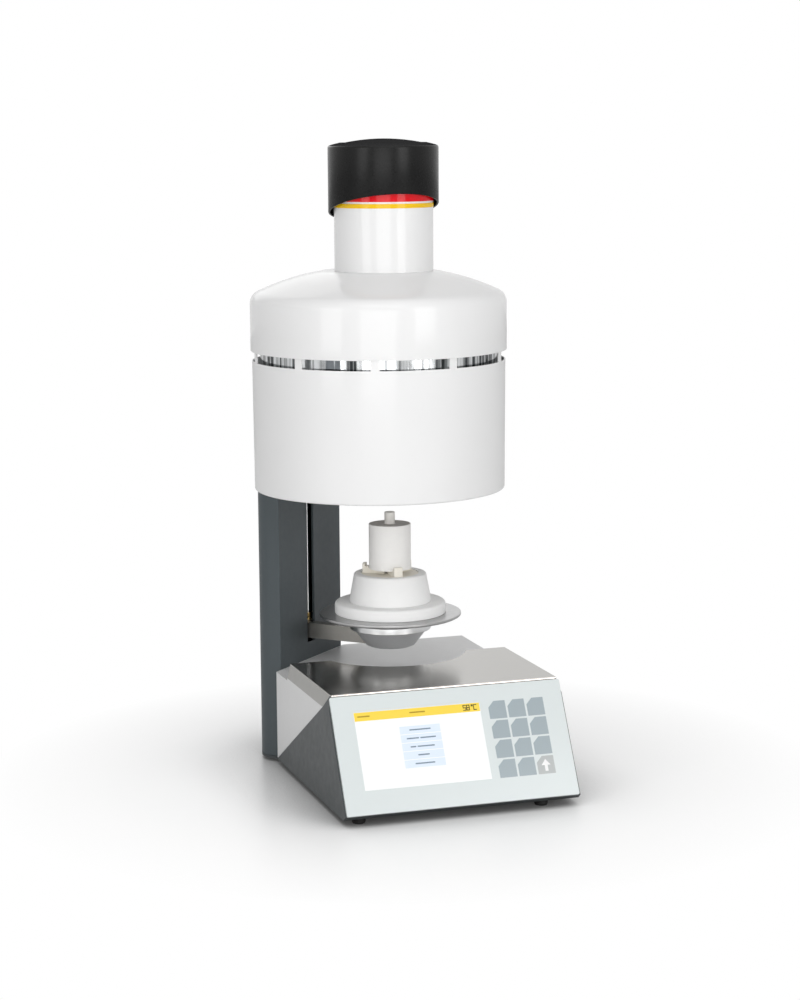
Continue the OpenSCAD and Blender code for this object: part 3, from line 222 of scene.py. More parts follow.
# Materials
UNDER_GLASS = dict(rough=0.5, coat=0.8, coat_rough=0.14, specular=0.0)
SHINY_BAND = dict(rough=0.4, coat=0.4, coat_rough=0.06, tint=0.004, rough_by=0.01, specular=0.0)
LOOKS = {
    "white_enamel": dict(color=(0.82, 0.82, 0.82), rough=0.5, coat=0.55, coat_rough=0.10,
                         tint=0.004, tint_mm=60, rough_by=0.03, rough_mm=40, specular=0.2),
    "anthracite_coat": dict(color=(0.066, 0.080, 0.087), rough=0.46, tint=0.07, tint_mm=1.6,
                            bump=0.03, bump_mm=0.9, specular=0.35),
    "dark_grey_coat": dict(color=(0.056, 0.063, 0.065), rough=0.45, tint=0.012, tint_mm=6,
                           rough_mm=10, specular=0.4),
    "light_grey_coat": dict(color=(0.72, 0.72, 0.72), rough=0.42, tint=0.006, tint_mm=8,
                            rough_mm=12),
    # Painted shade: a darker copy of the housing's grey for the strips beside the deck, standing in
    # for their shade and dim reflection
    "strip_painted_shade": dict(color=(0.36, 0.355, 0.34), rough=0.40, tint=0.02, tint_mm=8, rough_mm=12,
                        specular=0.4),
    "stainless": dict(color=(0.38, 0.37, 0.35), rough=0.18, metal=1.0, tint=0.03, tint_mm=0.5,
                      rough_by=0.05, rough_mm=0.5, bump=0.004, bump_mm=0.35,
                      stretch=(0.03, 1, 1)),
    "bright_steel": dict(color=(0.68, 0.69, 0.70), rough=0.12, metal=1.0, rough_by=0.03,
                         bump=0.002, bump_mm=1),
    "satin_aluminium": dict(color=(0.60, 0.61, 0.62), rough=0.36, metal=1.0, tint=0.03, tint_mm=4,
                            bump=0.004, bump_mm=0.5),
    # Painted reflection: a darker copy of the aluminium for the table plate, standing in for its
    # top mirroring darker surroundings
    "plate_aluminium": dict(color=(0.42, 0.42, 0.42), rough=0.33, metal=1.0, tint=0.02, tint_mm=4,
                            bump=0.003, bump_mm=0.5),
    # Painted highlight: a brighter, pinkish copy of the steel for the folded front edge of the top
    # plate
    "hem_steel": dict(color=(0.86, 0.80, 0.76), rough=0.16, metal=1.0, tint=0.02, rough_by=0.03),
    "arm_aluminium": dict(color=(0.30, 0.29, 0.27), rough=0.40, metal=1.0, tint=0.04, tint_mm=3,
                          bump=0.004, bump_mm=0.5),
    "brass": dict(color=(0.66, 0.47, 0.19), rough=0.28, metal=1.0, tint=0.05, tint_mm=5),
    "fibre_white": dict(color=(0.92, 0.92, 0.915), rough=0.85, tint=0.012, tint_mm=6, bump=0.06,
                        bump_mm=1.6, specular=0.3),
    "ivory_ceramic": dict(color=(0.93, 0.89, 0.80), rough=0.62, tint=0.02, tint_mm=8, bump=0.04,
                          bump_mm=1.2, specular=0.4),
    "investment": dict(color=(0.93, 0.92, 0.90), rough=0.88, tint=0.02, tint_mm=5, bump=0.10,
                       bump_mm=2.2, specular=0.25),
    "ring_top": dict(color=(0.58, 0.56, 0.54), rough=0.9, tint=0.08, tint_mm=4, bump=0.10,
                     bump_mm=1.4, specular=0.2),
    "plunger_ceramic": dict(color=(0.90, 0.88, 0.84), rough=0.5, tint=0.03, tint_mm=6, bump=0.02,
                            bump_mm=0.8),
    "seal_silicone": dict(color=(0.33, 0.05, 0.03), rough=0.55, bump=0.02),
    "quartz": dict(color=(0.80, 0.78, 0.74), rough=0.5, coat=0.3, bump=0.02, bump_mm=3),
    "heater_wire": dict(color=(0.13, 0.11, 0.10), rough=0.6, metal=0.8, bump=0.05),
    "circuit_board": dict(color=(0.02, 0.10, 0.05), rough=0.4, tint=0.15, tint_mm=3),
    "black_plastic": dict(color=(0.012, 0.012, 0.013), rough=0.45, tint=0.1, bump=0.015,
                          bump_mm=0.6),
    "black_rubber": dict(color=(0.010, 0.010, 0.010), rough=0.55, tint=0.2, tint_mm=3, bump=0.03,
                         bump_mm=0.8),
    "cap_plastic": dict(color=(0.007, 0.007, 0.007), rough=0.28, tint=0.06, rough_by=0.03,
                        bump=0.006, bump_mm=0.8, specular=0.18),
    # Painted sheen: a lighter copy of the cap plastic, without reflection, for the faces of the
    # cap's top
    "cap_top_painted_sheen": dict(color=(0.040, 0.040, 0.041), rough=0.6, tint=0.08, tint_mm=2, bump=0.012,
                      bump_mm=0.8, specular=0.0),
    "red_plastic": dict(color=(0.76, 0.006, 0.014), **SHINY_BAND),
    "yellow_plastic": dict(color=(0.90, 0.55, 0.010), **SHINY_BAND),
    "panel_print": dict(color=(0.70, 0.75, 0.75), tint=0.004, tint_mm=60, rough_mm=40,
                        **UNDER_GLASS),
    "key_blue": dict(color=(0.36, 0.42, 0.45), tint=0.01, **UNDER_GLASS),
    "key_grey": dict(color=(0.47, 0.49, 0.49), tint=0.01, **UNDER_GLASS),
    "arrow_white": dict(color=(0.86, 0.86, 0.86), tint=0.004, **UNDER_GLASS),
    "screen_dark": dict(color=(0.03, 0.032, 0.035), rough=0.3, coat=1.0, tint=0.02),
}
LIT = 0.12  # emission of the lit fields of the display
FIELDS = {
    "screen_white": ((0.86, 0.87, 0.87), LIT),
    "screen_yellow": ((0.86, 0.63, 0.07), LIT),
    "screen_blue": ((0.69, 0.77, 0.88), LIT),
    "screen_ink": ((0.06, 0.05, 0.02), 0.0),
    "screen_ochre": ((0.42, 0.27, 0.02), 0.0),
    "screen_slate": ((0.20, 0.27, 0.34), 0.0),
}
MATERIALS = {name: surface(name, **look) for name, look in LOOKS.items()}
MATERIALS.update({name: glowing(name, *field) for name, field in FIELDS.items()})
# Heat shield behind the vents: bright steel with painted reflections as upright dark and light
# streaks
MATERIALS["polished_sheet_painted_streaks"] = reflection_streaked("polished_sheet_painted_streaks", (0.06, 0.065, 0.07), (0.90, 0.92, 0.93),
                                       rough=0.14, pitch_mm=7)
MATERIALS["turned_aluminium"] = turned("turned_aluminium", (0.74, 0.745, 0.75), rough=0.36,
                                       pitch_mm=0.35, bump=0.003)

# Mesh tools


def link(name, mesh):
    o = bpy.data.objects.new(name, mesh)
    bpy.context.scene.collection.objects.link(o)
    return o


def piece(name, mesh, materials, body, stands_for=()):
    """A visible piece that rides on a body and may stand for CAD nodes."""
    o = link(name, mesh)
    for m in [materials] if isinstance(materials, str) else materials:
        o.data.materials.append(MATERIALS[m])
    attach(o, body)
    if stands_for:
        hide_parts(*stands_for)
    return o


def shade(mesh, angle=32):
    mesh.polygons.foreach_set("use_smooth", [True] * len(mesh.polygons))
    mesh.set_sharp_from_angle(angle=math.radians(angle))


def mesh_from(name, bm):
    mesh = bpy.data.meshes.new(name)
    bm.to_mesh(mesh)
    bm.free()
    return mesh


def arc(radius, start, sweep, steps, centre=(0, 0)):
    """Points along an arc, both ends included; angles in radians."""
    return [(centre[0] + radius * math.cos(a), centre[1] + radius * math.sin(a))
            for a in (start + sweep * k / steps for k in range(steps + 1))]


def circle(radius, steps, centre=(0, 0)):
    return arc(radius, 0, 2 * math.pi, steps, centre)[:-1]


def rect(x0, y0, x1, y1, r=0.0):
    return [(x0, y0, r), (x1, y0, r), (x1, y1, r), (x0, y1, r)]


def rounded(points, closed=True):
    """A polyline whose corners with a third value, a radius, are rounded."""
    step_degrees, most_steps, most_of_side = 9, 24, 0.499
    out, n = [], len(points)
    for i, p in enumerate(points):
        r = p[2] if len(p) > 2 else 0
        if r <= 0 or (not closed and i in (0, n - 1)):
            out.append((p[0], p[1]))
            continue
        at = Vector(p[:2])
        a, b = Vector(points[i - 1][:2]) - at, Vector(points[(i + 1) % n][:2]) - at
        half = a.angle(b) / 2
        cut_off = min(r / math.tan(half), a.length * most_of_side, b.length * most_of_side)
        r = cut_off * math.tan(half)
        centre = at + (a.normalized() + b.normalized()).normalized() * (r / math.sin(half))
        p0, p1 = at + a.normalized() * cut_off - centre, at + b.normalized() * cut_off - centre
        sweep = p0.angle_signed(p1)
        steps = max(2, min(most_steps, round(abs(math.degrees(sweep)) / step_degrees)))
        for k in range(steps + 1):
            v = p0.copy()
            v.rotate(Matrix.Rotation(-sweep * k / steps, 2))
            out.append(tuple(centre + v))
    return out


def ring(bm, centre, radius, height, count):
    """A level or slanting ring of vertices, or a single one where the radius is nothing."""
    x, y = centre
    if radius < 1e-6:
        return [bm.verts.new((x * MM, y * MM, height * MM))]
    return [bm.verts.new(((x + radius * math.cos(a)) * MM, (y + radius * math.sin(a)) * MM,
                          (height(a) if callable(height) else height) * MM))
            for a in (2 * math.pi * k / count for k in range(count))]


def strip(bm, p, q):
    """Faces between two rings of vertices, of which one may be a single point."""
    faces = []
    count = max(len(p), len(q))
    for k in range(count):
        j = (k + 1) % count
        corners = dict.fromkeys((p[k % len(p)], p[j % len(p)], q[j % len(q)], q[k % len(q)]))
        if len(corners) > 2:
            faces.append(bm.faces.new(list(corners)))
    return faces


def lathe(name, profile, materials, body, stands_for=(), segments=160, second=None,
          off=(0, 0)):
    """Revolves a profile of radius, height and rounding about an upright axis.

    The axis is the table's, moved by off. Faces whose mean radius and height second accepts take
    the second material.
    """
    axis = AXIS_X + off[0], AXIS_Y + off[1]
    solid = profile[0][0] == 0 and profile[-1][0] == 0
    bm = bmesh.new()
    rings = [ring(bm, axis, r, z, segments) for r, z in rounded(profile, closed=not solid)]
    pairs = list(zip(rings, rings[1:]))
    if not solid:
        pairs.append((rings[-1], rings[0]))
    for p, q in pairs:
        for f in strip(bm, p, q):
            if second:
                spots = [v.co for v in f.verts]
                z = sum(s.z for s in spots) / len(spots) / MM
                r = sum((s.xy - Vector(axis) * MM).length for s in spots) / len(spots) / MM
                f.material_index = 1 if second(r, z) else 0
    bmesh.ops.recalc_face_normals(bm, faces=bm.faces)
    mesh = mesh_from(name, bm)
    shade(mesh)
    return piece(name, mesh, materials, body, stands_for)


def prism_mesh(name, outline, z0, z1, place):
    bm = bmesh.new()
    line = rounded(outline)
    low = [bm.verts.new((x, y, z0)) for x, y in line]
    top = [bm.verts.new((x, y, z1)) for x, y in line]
    bm.faces.new(low[::-1])
    bm.faces.new(top)
    strip(bm, low, top)
    bmesh.ops.recalc_face_normals(bm, faces=bm.faces)
    mesh = mesh_from(name, bm)
    mesh.transform(Matrix.Scale(MM, 4) @ place)
    shade(mesh)
    return mesh


def prism(name, outline, z0, z1, material, body, place, stands_for=()):
    """A prism of a rounded outline, upright in the frame that its place matrix gives."""
    return piece(name, prism_mesh(name, outline, z0, z1, place), material, body, stands_for)


def tool(name, outline, z0, z1, place):
    """A prism that only shapes another piece."""
    return link(name, prism_mesh(name, outline, z0, z1, place))


def soften(o, width, segments=3, angle=40):
    b = o.modifiers.new("soft_edges", "BEVEL")
    b.width = width * MM
    b.segments = segments
    b.limit_method = "ANGLE"
    b.angle_limit = math.radians(angle)
    b.harden_normals = True


def shaped(o, tools, operation="DIFFERENCE"):
    """Cuts the tools out of an object, or leaves what it shares with them; the tools go."""
    for t in tools:
        m = o.modifiers.new("shaped", "BOOLEAN")
        m.operation, m.solver, m.object = operation, "EXACT", t
    bpy.context.view_layer.update()
    mesh = bpy.data.meshes.new_from_object(o.evaluated_get(bpy.context.evaluated_depsgraph_get()))
    o.modifiers.clear()
    o.data = mesh
    for t in tools:
        bpy.data.objects.remove(t)
    shade(mesh)
    return o


def place_xy(x, y, turn=0.0):
    """From a frame at a point beside the table axis, turned by degrees, to the row frame."""
    return (Matrix.Translation((x + AXIS_X, y + AXIS_Y, 0))
            @ Matrix.Rotation(math.radians(turn), 4, "Z"))


# Column, in a frame whose origin is the middle of its front face
COL_AT = place_xy(0, 0, 45) @ Matrix.Translation((0, 113, 0))
COL_HALF, COL_SIDE, COL_CORNER, COL_DEPTH = 79, 15, 24, 52
COL_WALL, COL_EDGE = 3.5, 0.9
COL_Z0, COL_Z1 = span("column_profile")
SLOT_HALF, SLOT_Z0 = 9, 139
RIB_AT, RIB_HALF, RIB_FRONT, RIB_BACK = 14, 2, 47, 50.5
BEYOND = 10  # how far a cutting prism reaches past the end of what it cuts


def column_line(inset):
    """Outline of the column, inset from its face: flat front, corner arcs and a round back."""
    off, rise = COL_HALF - COL_CORNER, COL_DEPTH - COL_SIDE - COL_CORNER
    turn = math.pi / 2 - 2 * math.atan2(rise, off)
    back = (off * off + rise * rise) / (2 * rise) + COL_CORNER
    corner = COL_CORNER - inset
    return ([(inset - COL_HALF, inset), (COL_HALF - inset, inset)]
            + arc(corner, 0, turn, 14, (off, COL_SIDE))
            + arc(back - inset, turn, math.pi - 2 * turn, 24, (0, COL_DEPTH - back))[1:-1]
            + arc(corner, math.pi - turn, turn, 14, (-off, COL_SIDE)))


def make_column():
    body = prism("column_extrusion", column_line(0), COL_Z0, COL_Z1, "anthracite_coat", "base",
                 COL_AT, ["column_profile"])
    hollow = tool("hollow_tool", column_line(COL_WALL), 0, COL_Z1 + BEYOND, COL_AT)
    slot = tool("slot_tool", rect(-SLOT_HALF, -BEYOND, SLOT_HALF, COL_WALL + 1), SLOT_Z0,
                COL_Z1 + BEYOND, COL_AT)
    shaped(body, [hollow, slot])
    soften(body, COL_EDGE, 3, 50)
    for i, x in enumerate((-RIB_AT, RIB_AT)):
        prism(f"column_rib_{i}", rect(x - RIB_HALF, RIB_FRONT, x + RIB_HALF, RIB_BACK), COL_Z0,
              COL_Z1, "anthracite_coat", "base", COL_AT)


# Hood and neck
SKIN = 1.5  # sheet of the hood and the neck
HOOD_Z0, LAP_Z1 = span("hood_lower_shell")
COVER_Z0 = span("hood_cover")[0]
LIP_R, LIP_INSIDE_R, FOOT_R, FOOT_INSIDE_R, SEAM_R = 149.2, 152.4, 154.2, 152.75, 155.3
VENTS, VENT_H = 10, 12.2
VENT_FIRST, BRIDGE = -91.2, 3.8  # degrees: middle of the first slot, web between two
VENT_INSIDE_R, VENT_OUTSIDE_R, SEAM_CLEAR = 148, 160, 0.9
COLUMN_GAP = 1.4  # between the column and the lip's cut-out
COVER_R, COVER_EDGE, COVER_BEND, BEND_Z = 157, 0.7, 16, 572
CROWN_R, CROWN_CENTRE, CROWN_START, CROWN_END = 300.17, (20.90, 314.45), 65, 80.5
DOME_HOLE_R, NECK_R = 40, 60.3
NECK_Z0, NECK_Z1 = span("neck_tube")


def make_vents(shell):
    half = math.radians((360 / VENTS - BRIDGE) / 2)
    tools = []
    for i in range(VENTS):
        mid = math.radians(VENT_FIRST + i * 360 / VENTS)
        outline = (arc(VENT_INSIDE_R, mid - half, 2 * half, 16)
                   + arc(VENT_OUTSIDE_R, mid + half, -2 * half, 16))
        tools.append(tool("vent_tool", outline, COVER_Z0 - VENT_H, COVER_Z0 + SEAM_CLEAR,
                          place_xy(*HOOD)))
    shaped(shell, tools)


def make_shell():
    shell = lathe("hood_shell", [(LIP_R, HOOD_Z0), (FOOT_R, HOOD_Z0, 2.6), (SEAM_R, COVER_Z0),
                                 (SEAM_R, LAP_Z1), (SEAM_R - SKIN, LAP_Z1),
                                 (SEAM_R - SKIN, COVER_Z0), (FOOT_INSIDE_R, HOOD_Z0 + SKIN, 1.2),
                                 (LIP_R, HOOD_Z0 + SKIN)],
                  "white_enamel", "base", ["hood_lower_shell"], segments=360,
                  off=HOOD)
    make_vents(shell)
    low, high = HOOD_Z0 - BEYOND, HOOD_Z0 + 2 * SKIN
    trim = tool("lip_trim", column_line(-COLUMN_GAP), low, high, COL_AT)
    inside = tool("lip_inside", circle(LIP_INSIDE_R, 360), low - 1, high + 1, place_xy(*HOOD))
    shaped(shell, [shaped(trim, [inside], "INTERSECT")])
    soften(shell, 0.35, 2, 50)


def cover_line(inset):
    """The cover's bend and crown, from the wall up, inset from its outer face."""
    start = math.radians(CROWN_START)
    bend = arc(COVER_BEND - inset, 0, start, 10, (COVER_R - COVER_BEND, BEND_Z))
    crown = arc(CROWN_R - inset, start, math.radians(CROWN_END - CROWN_START), 14, CROWN_CENTRE)
    return bend + crown[1:]


def make_hood():
    make_shell()
    lathe("hood_cover_dome", [(COVER_R, COVER_Z0, COVER_EDGE)] + cover_line(0)
          + [(DOME_HOLE_R, NECK_Z0), (DOME_HOLE_R, NECK_Z0 - SKIN)] + cover_line(SKIN)[::-1]
          + [(COVER_R - SKIN, COVER_Z0, COVER_EDGE)],
          "white_enamel", "base", ["hood_cover"], segments=256, off=HOOD)
    foot = NECK_Z0 + 0.1
    lathe("neck_sleeve", [(NECK_R, foot), (NECK_R, NECK_Z1, 0.5), (NECK_R - SKIN, NECK_Z1),
                          (NECK_R - SKIN, foot)],
          "white_enamel", "base", ["neck_tube"], off=NECK)
    for name, node, paint, proud, low_edge, top_edge in (
            ("yellow_ring", "yellow_band", "yellow_plastic", 0.45, 0.25, 0.25),
            ("red_ring", "red_band", "red_plastic", 0.7, 0.3, 0)):
        z0, z1 = span(node)
        lathe(name, [(NECK_R - 0.1, z0), (NECK_R + proud, z0, low_edge),
                     (NECK_R + proud, z1, top_edge), (NECK_R - 0.1, z1)],
              paint, "base", [node], off=NECK)


# Cap
CAP_R, CAP_T, CAP_EDGE_Z, CAP_RISE = 67.2, 2.4, 761.3, 9.7
SKIRT_LOW, SKIRT_HIGH = 669, 705
BELOW_EDGE_Z = 700  # a level under the top edges that only aims their rounding
INSET = 1.3  # depth of the disc in the top
# Radius and depth of the crest's circles, over the rim of the inset disc and across it
CREST = [(63, 0), (58, 0), (52.6, 0), (51.6, 0.5), (51.3, INSET + 0.3)]
CREST += [(r, INSET) for r in (49.8, 49.5, 44, 36, 26, 16, 8, 0)]
CREST_R = CREST[1][0]
CAP_RIBS, CAP_RIB_R, CAP_RIB_HALF = 4, 46.3, 1.5
CAP_ROOF, CAP_INSIDE_R = CAP_EDGE_Z - CAP_T, CAP_R - CAP_T


def skirt_edge(lower):
    """The slanting lower edge of the skirt, as a height over the angle, lowered a little."""
    return lambda a: ((SKIRT_HIGH + SKIRT_LOW) / 2 - lower
                      - math.sin(a) * (SKIRT_HIGH - SKIRT_LOW) / 2)


def make_cap():
    """A dome with an inset disc over a skirt that is cut on the slant, with its ribs inside."""
    dome = (CAP_R ** 2 + CAP_RISE ** 2) / (2 * CAP_RISE)
    crest = [(r, CAP_EDGE_Z + CAP_RISE - dome + math.sqrt(dome ** 2 - r * r) - depth)
             for r, depth in CREST]
    wall = rounded([(CAP_R, BELOW_EDGE_Z), (CAP_R, CAP_EDGE_Z - 0.4, 4.2), crest[0], crest[1]],
                   closed=False)
    roof = rounded([(CREST_R, CAP_ROOF), (CAP_INSIDE_R, CAP_ROOF, 4), (CAP_INSIDE_R, BELOW_EDGE_Z)],
                   closed=False)
    hem = [(CAP_INSIDE_R, 0), (CAP_INSIDE_R + 0.25, 0.35), (CAP_INSIDE_R + 0.7, 0.5),
           (CAP_R - 0.9, 0.5), (CAP_R - 0.3, 0.25), (CAP_R, -0.4)]
    bm = bmesh.new()
    axis = AXIS_X + NECK[0], AXIS_Y + NECK[1]

    def rings(line):
        return [ring(bm, axis, r, z, 192) for r, z in line]

    shell = rings([(r, skirt_edge(lower)) for r, lower in hem]) + rings(wall[1:] + crest[2:])
    lining = rings([(0, CAP_ROOF)] + roof[:-1]) + [shell[0]]
    for p, q in zip(shell, shell[1:]):
        strip(bm, p, q)
    for p, q in zip(lining, lining[1:]):
        strip(bm, q, p)
    bmesh.ops.recalc_face_normals(bm, faces=bm.faces)
    # Faces of the top take the lighter, unreflecting copy of the cap plastic: a painted sheen
    for f in bm.faces:
        on_top = f.calc_center_median().z / MM > CAP_EDGE_Z - 1
        f.material_index = 1 if on_top and f.normal.z > 0.8 else 0
    mesh = mesh_from("cap_dome", bm)
    shade(mesh, 30)
    piece("cap_dome", mesh, ["cap_plastic", "cap_top_painted_sheen"], "base", ["top_cap"])
    for i in range(CAP_RIBS):
        wall_r = CAP_INSIDE_R + 0.1
        prism(f"cap_rib_{i}", [(CAP_RIB_R, -CAP_RIB_HALF, 0.4), (wall_r, -CAP_RIB_HALF),
                               (wall_r, CAP_RIB_HALF), (CAP_RIB_R, CAP_RIB_HALF, 0.4)],
              NECK_Z1, CAP_ROOF, "cap_plastic", "base", place_xy(*NECK, i * 360 / CAP_RIBS))


# Control panel, in a frame at the pane's lower left corner, on its back face
CHIN = Vector((0, -273.5, 12))
TILT, PANE_W, PANE_LEN, PANE_T = 61.2, 283, 140, 4
PANE_FRONT = PANE_T - 0.2
FIELD_FRONT, FIELD_T, PRINT_T = PANE_T - 0.12, 0.1, 0.02  # screen and keys, prints over them
SCREEN_X, SCREEN_Y, SCREEN_W, SCREEN_H = 25.4, 27.8, 153.6, 92
SCREEN_X1, SCREEN_Y1 = SCREEN_X + SCREEN_W, SCREEN_Y + SCREEN_H
HEADER_H, HEADER_EDGE = 10.6, 0.3
HEADER_LINES = [(4, 15), (67, 19)]  # start from the screen's left edge, and length
MENU_X, MENU_Y, MENU_W, MENU_H = 77.5, 49, 49, 50
MENU_WORDS = [(24,), (14,), (7, 21), (15, 19), (26,)]  # plain bars in place of words, upwards
WORD_GAP, WORD_HALF, WORD_END = 1.5, 0.8, 0.7
KEYS_X, KEY, KEY_GAP, KEY_CUT = 189.3, 21.4, 2.4, 7.4
KEY_COLUMNS, KEY_ROWS = 3, 4
ARROW_X, ARROW_Y = 10.9, 10.1  # middle of the arrow on its key
# Strokes of a digit one unit wide and tall, from end to end
SEGMENTS = {"a": (0, 1, 1, 1), "b": (1, 0.5, 1, 1), "c": (1, 0, 1, 0.5), "d": (0, 0, 1, 0),
            "e": (0, 0, 0, 0.5), "f": (0, 0.5, 0, 1), "g": (0, 0.5, 1, 0.5)}
# Start, scale and strokes of the reading: two digits, a degree ring and a C
READING = [(0, 1, "afgcd"), (4.4, 1, "abcdefg"), (10.1, 0.42, "abfg"), (12.9, 1, "adef")]
DIGIT_W, DIGIT_H, STROKE_HALF = 3.1, 5.8, 1.05 / 2
READING_X, READING_Y = SCREEN_X1 - 20.5, SCREEN_Y1 - 8.2
ON_PANEL = (Matrix.Translation((AXIS_X, AXIS_Y, 0)) @ Matrix.Translation(CHIN)
            @ Matrix.Rotation(math.radians(TILT), 4, "X")
            @ Matrix.Translation((-PANE_W / 2, 0, 0)))


def field(name, outline, material, slot="display_unit", stands_for=()):
    """The screen or a key, level with the panel's print."""
    prism(name, outline, FIELD_FRONT - FIELD_T, FIELD_FRONT, material, "base", ON_PANEL,
          stands_for)


def printed(name, outline, material, layer=0):
    """A thin print over a field, or over as many prints as layer says."""
    z0 = FIELD_FRONT + layer * PRINT_T
    prism(name, outline, z0, z0 + PRINT_T, material, "base", ON_PANEL)


def word_bar(name, x, y, length, material):
    printed(name, rect(x, y - WORD_HALF, x + length, y + WORD_HALF, WORD_END), material, layer=1)


def make_reading():
    for k, (left, scale, bars) in enumerate(READING):
        wide, tall = DIGIT_W * scale, DIGIT_H * scale
        x, y = READING_X + left, READING_Y + DIGIT_H - tall
        for b in bars:
            u0, v0, u1, v1 = SEGMENTS[b]
            printed(f"readout_{k}_{b}",
                    rect(x + u0 * wide - STROKE_HALF, y + v0 * tall - STROKE_HALF,
                         x + u1 * wide + STROKE_HALF, y + v1 * tall + STROKE_HALF),
                    "screen_ink", layer=1)


def make_screen():
    field("screen_frame", rect(SCREEN_X, SCREEN_Y, SCREEN_X1, SCREEN_Y1, 0.4), "screen_white",
          stands_for=["display_module"])
    printed("screen_header", rect(SCREEN_X + HEADER_EDGE, SCREEN_Y1 - HEADER_H,
                                  SCREEN_X1 - HEADER_EDGE, SCREEN_Y1 - HEADER_EDGE, 0.2),
            "screen_yellow")
    make_reading()
    for k, (left, length) in enumerate(HEADER_LINES):
        word_bar(f"header_line_{k}", SCREEN_X + left, SCREEN_Y1 - HEADER_H / 2, length,
                 "screen_ochre")
    step = MENU_H / len(MENU_WORDS)
    for i, words in enumerate(MENU_WORDS):
        y = MENU_Y + i * step
        printed(f"menu_row_{i}", rect(MENU_X, y + 0.4, MENU_X + MENU_W, y + step - 0.4, 0.5),
                "screen_blue")
        x = MENU_X + (MENU_W - sum(words) - WORD_GAP * (len(words) - 1)) / 2
        for k, length in enumerate(words):
            word_bar(f"menu_line_{i}_{k}", x, y + step / 2, length, "screen_slate")
            x += length + WORD_GAP


def make_keys():
    """Key fields with one corner cut off; the last one carries an arrow."""
    pitch_x, pitch_y = KEY + KEY_GAP, (SCREEN_H - KEY) / (KEY_ROWS - 1)
    for i in range(KEY_COLUMNS):
        for j in range(KEY_ROWS):
            x, y = KEYS_X + i * pitch_x, SCREEN_Y + j * pitch_y
            outline = [(x, y, 0.3), (x + KEY, y, 0.3), (x + KEY, y + KEY, 0.3),
                       (x + KEY_CUT, y + KEY, 0.3), (x, y + KEY - KEY_CUT, 0.3)]
            last = i == KEY_COLUMNS - 1 and j == 0
            field(f"key_{i}_{j}", outline, "key_grey" if last else "key_blue", "key_film",
                  ["key_pads"] if i == j == 0 else ())
    cx, cy = KEYS_X + (KEY_COLUMNS - 1) * pitch_x + ARROW_X, SCREEN_Y + ARROW_Y
    stem, wing, tail, shoulder, tip = 1.9, 5.6, cy - 6.9, cy + 0.3, cy + 7.4
    printed("key_arrow", [(cx - stem, tail), (cx + stem, tail), (cx + stem, shoulder),
                          (cx + wing, shoulder), (cx, tip), (cx - wing, shoulder),
                          (cx - stem, shoulder)], "arrow_white")


def make_panel():
    pane = prism("panel_glass", rect(0, 0, PANE_W, PANE_LEN, 2), 0, PANE_FRONT, "panel_print",
                 "base", ON_PANEL, ["front_glass"])
    soften(pane, 0.5, 3)
    make_screen()
    make_keys()


# Housing and top plate
CRISP = 12  # degrees: a fold of the housing that is at least this sharp stays a fold
SIDEWAYS, LEANING_FROM, LEANING_TO = 0.9, 0.15, 0.4  # normals of the strips beside the deck, which take the painted shade
HEM_R, HEM_SIDES = 1.5, 20


def make_housing():
    """The housing's own shape with crisp folds, and the narrow strips beside the deck in a darker
    copy of its grey: painted shade and dim reflection.
    """
    bm = bmesh.new()
    bm.from_mesh(NODES["rear_housing"].data)
    bmesh.ops.remove_doubles(bm, verts=bm.verts, dist=0.001 * MM)
    bmesh.ops.dissolve_limit(bm, angle_limit=math.radians(0.5), verts=bm.verts, edges=bm.edges)
    for f in bm.faces:
        # Faces of the strips beside the deck take the darker copy of the grey, painted shade
        on_painted_shade_strip = abs(f.normal.x) > SIDEWAYS and LEANING_FROM < f.normal.z < LEANING_TO
        f.material_index = 1 if on_painted_shade_strip else 0
    mesh = mesh_from("housing_shell", bm)
    shade(mesh, CRISP)
    soften(piece("housing_shell", mesh, ["light_grey_coat", "strip_painted_shade"], "base",
                 ["rear_housing"]), 0.45, 2, CRISP)


def make_hem():
    """The folded front edge of the top plate, a thin bead in a brighter, pinkish copy of the steel
    that paints its highlight.
    """
    low, high = (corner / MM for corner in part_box("top_plate"))
    section = circle(HEM_R, HEM_SIDES, (low.y + 1.1, high.z - 1.3))
    bm = bmesh.new()
    ends = [[bm.verts.new((x, y, z)) for y, z in section] for x in (low.x + 0.5, high.x - 0.5)]
    strip(bm, *ends)
    for e in ends:
        bm.faces.new(e)
    bmesh.ops.recalc_face_normals(bm, faces=bm.faces)
    mesh = mesh_from("plate_hem", bm)
    mesh.transform(Matrix.Scale(MM, 4))
    shade(mesh)
    soften(piece("plate_hem", mesh, "hem_steel", "base"), 0.3, 2)


# Lift table and firing stack
PLATE_R, PLATE_FOOT_R, PLATE_CHAMFER = 88, 85.2, 1.5
FLANGE_R, FLANGE_NECK_R, FLANGE_H, FLANGE_SLOPE = 50.5, 44.5, 8, 3
TIER_R = 69
CONE_FOOT_R, CONE_STEP_R, CONE_TOP_R, CONE_STEP_H = 51, 50.4, 44.6, 4
POCKET_R, TRAY_R, TRAY_T = 35.5, 35.2, 6.2
TRAY_ARMS, ARM_HALF, ARM_END_R = 3, 5.5, 34.4
RING_R, BORE_R, BORE_MOUTH_R, BORE_CHAMFER, RING_FLOOR = 26, 6.55, 7.6, 1, 14.3
PLUNGER_R = 6.5


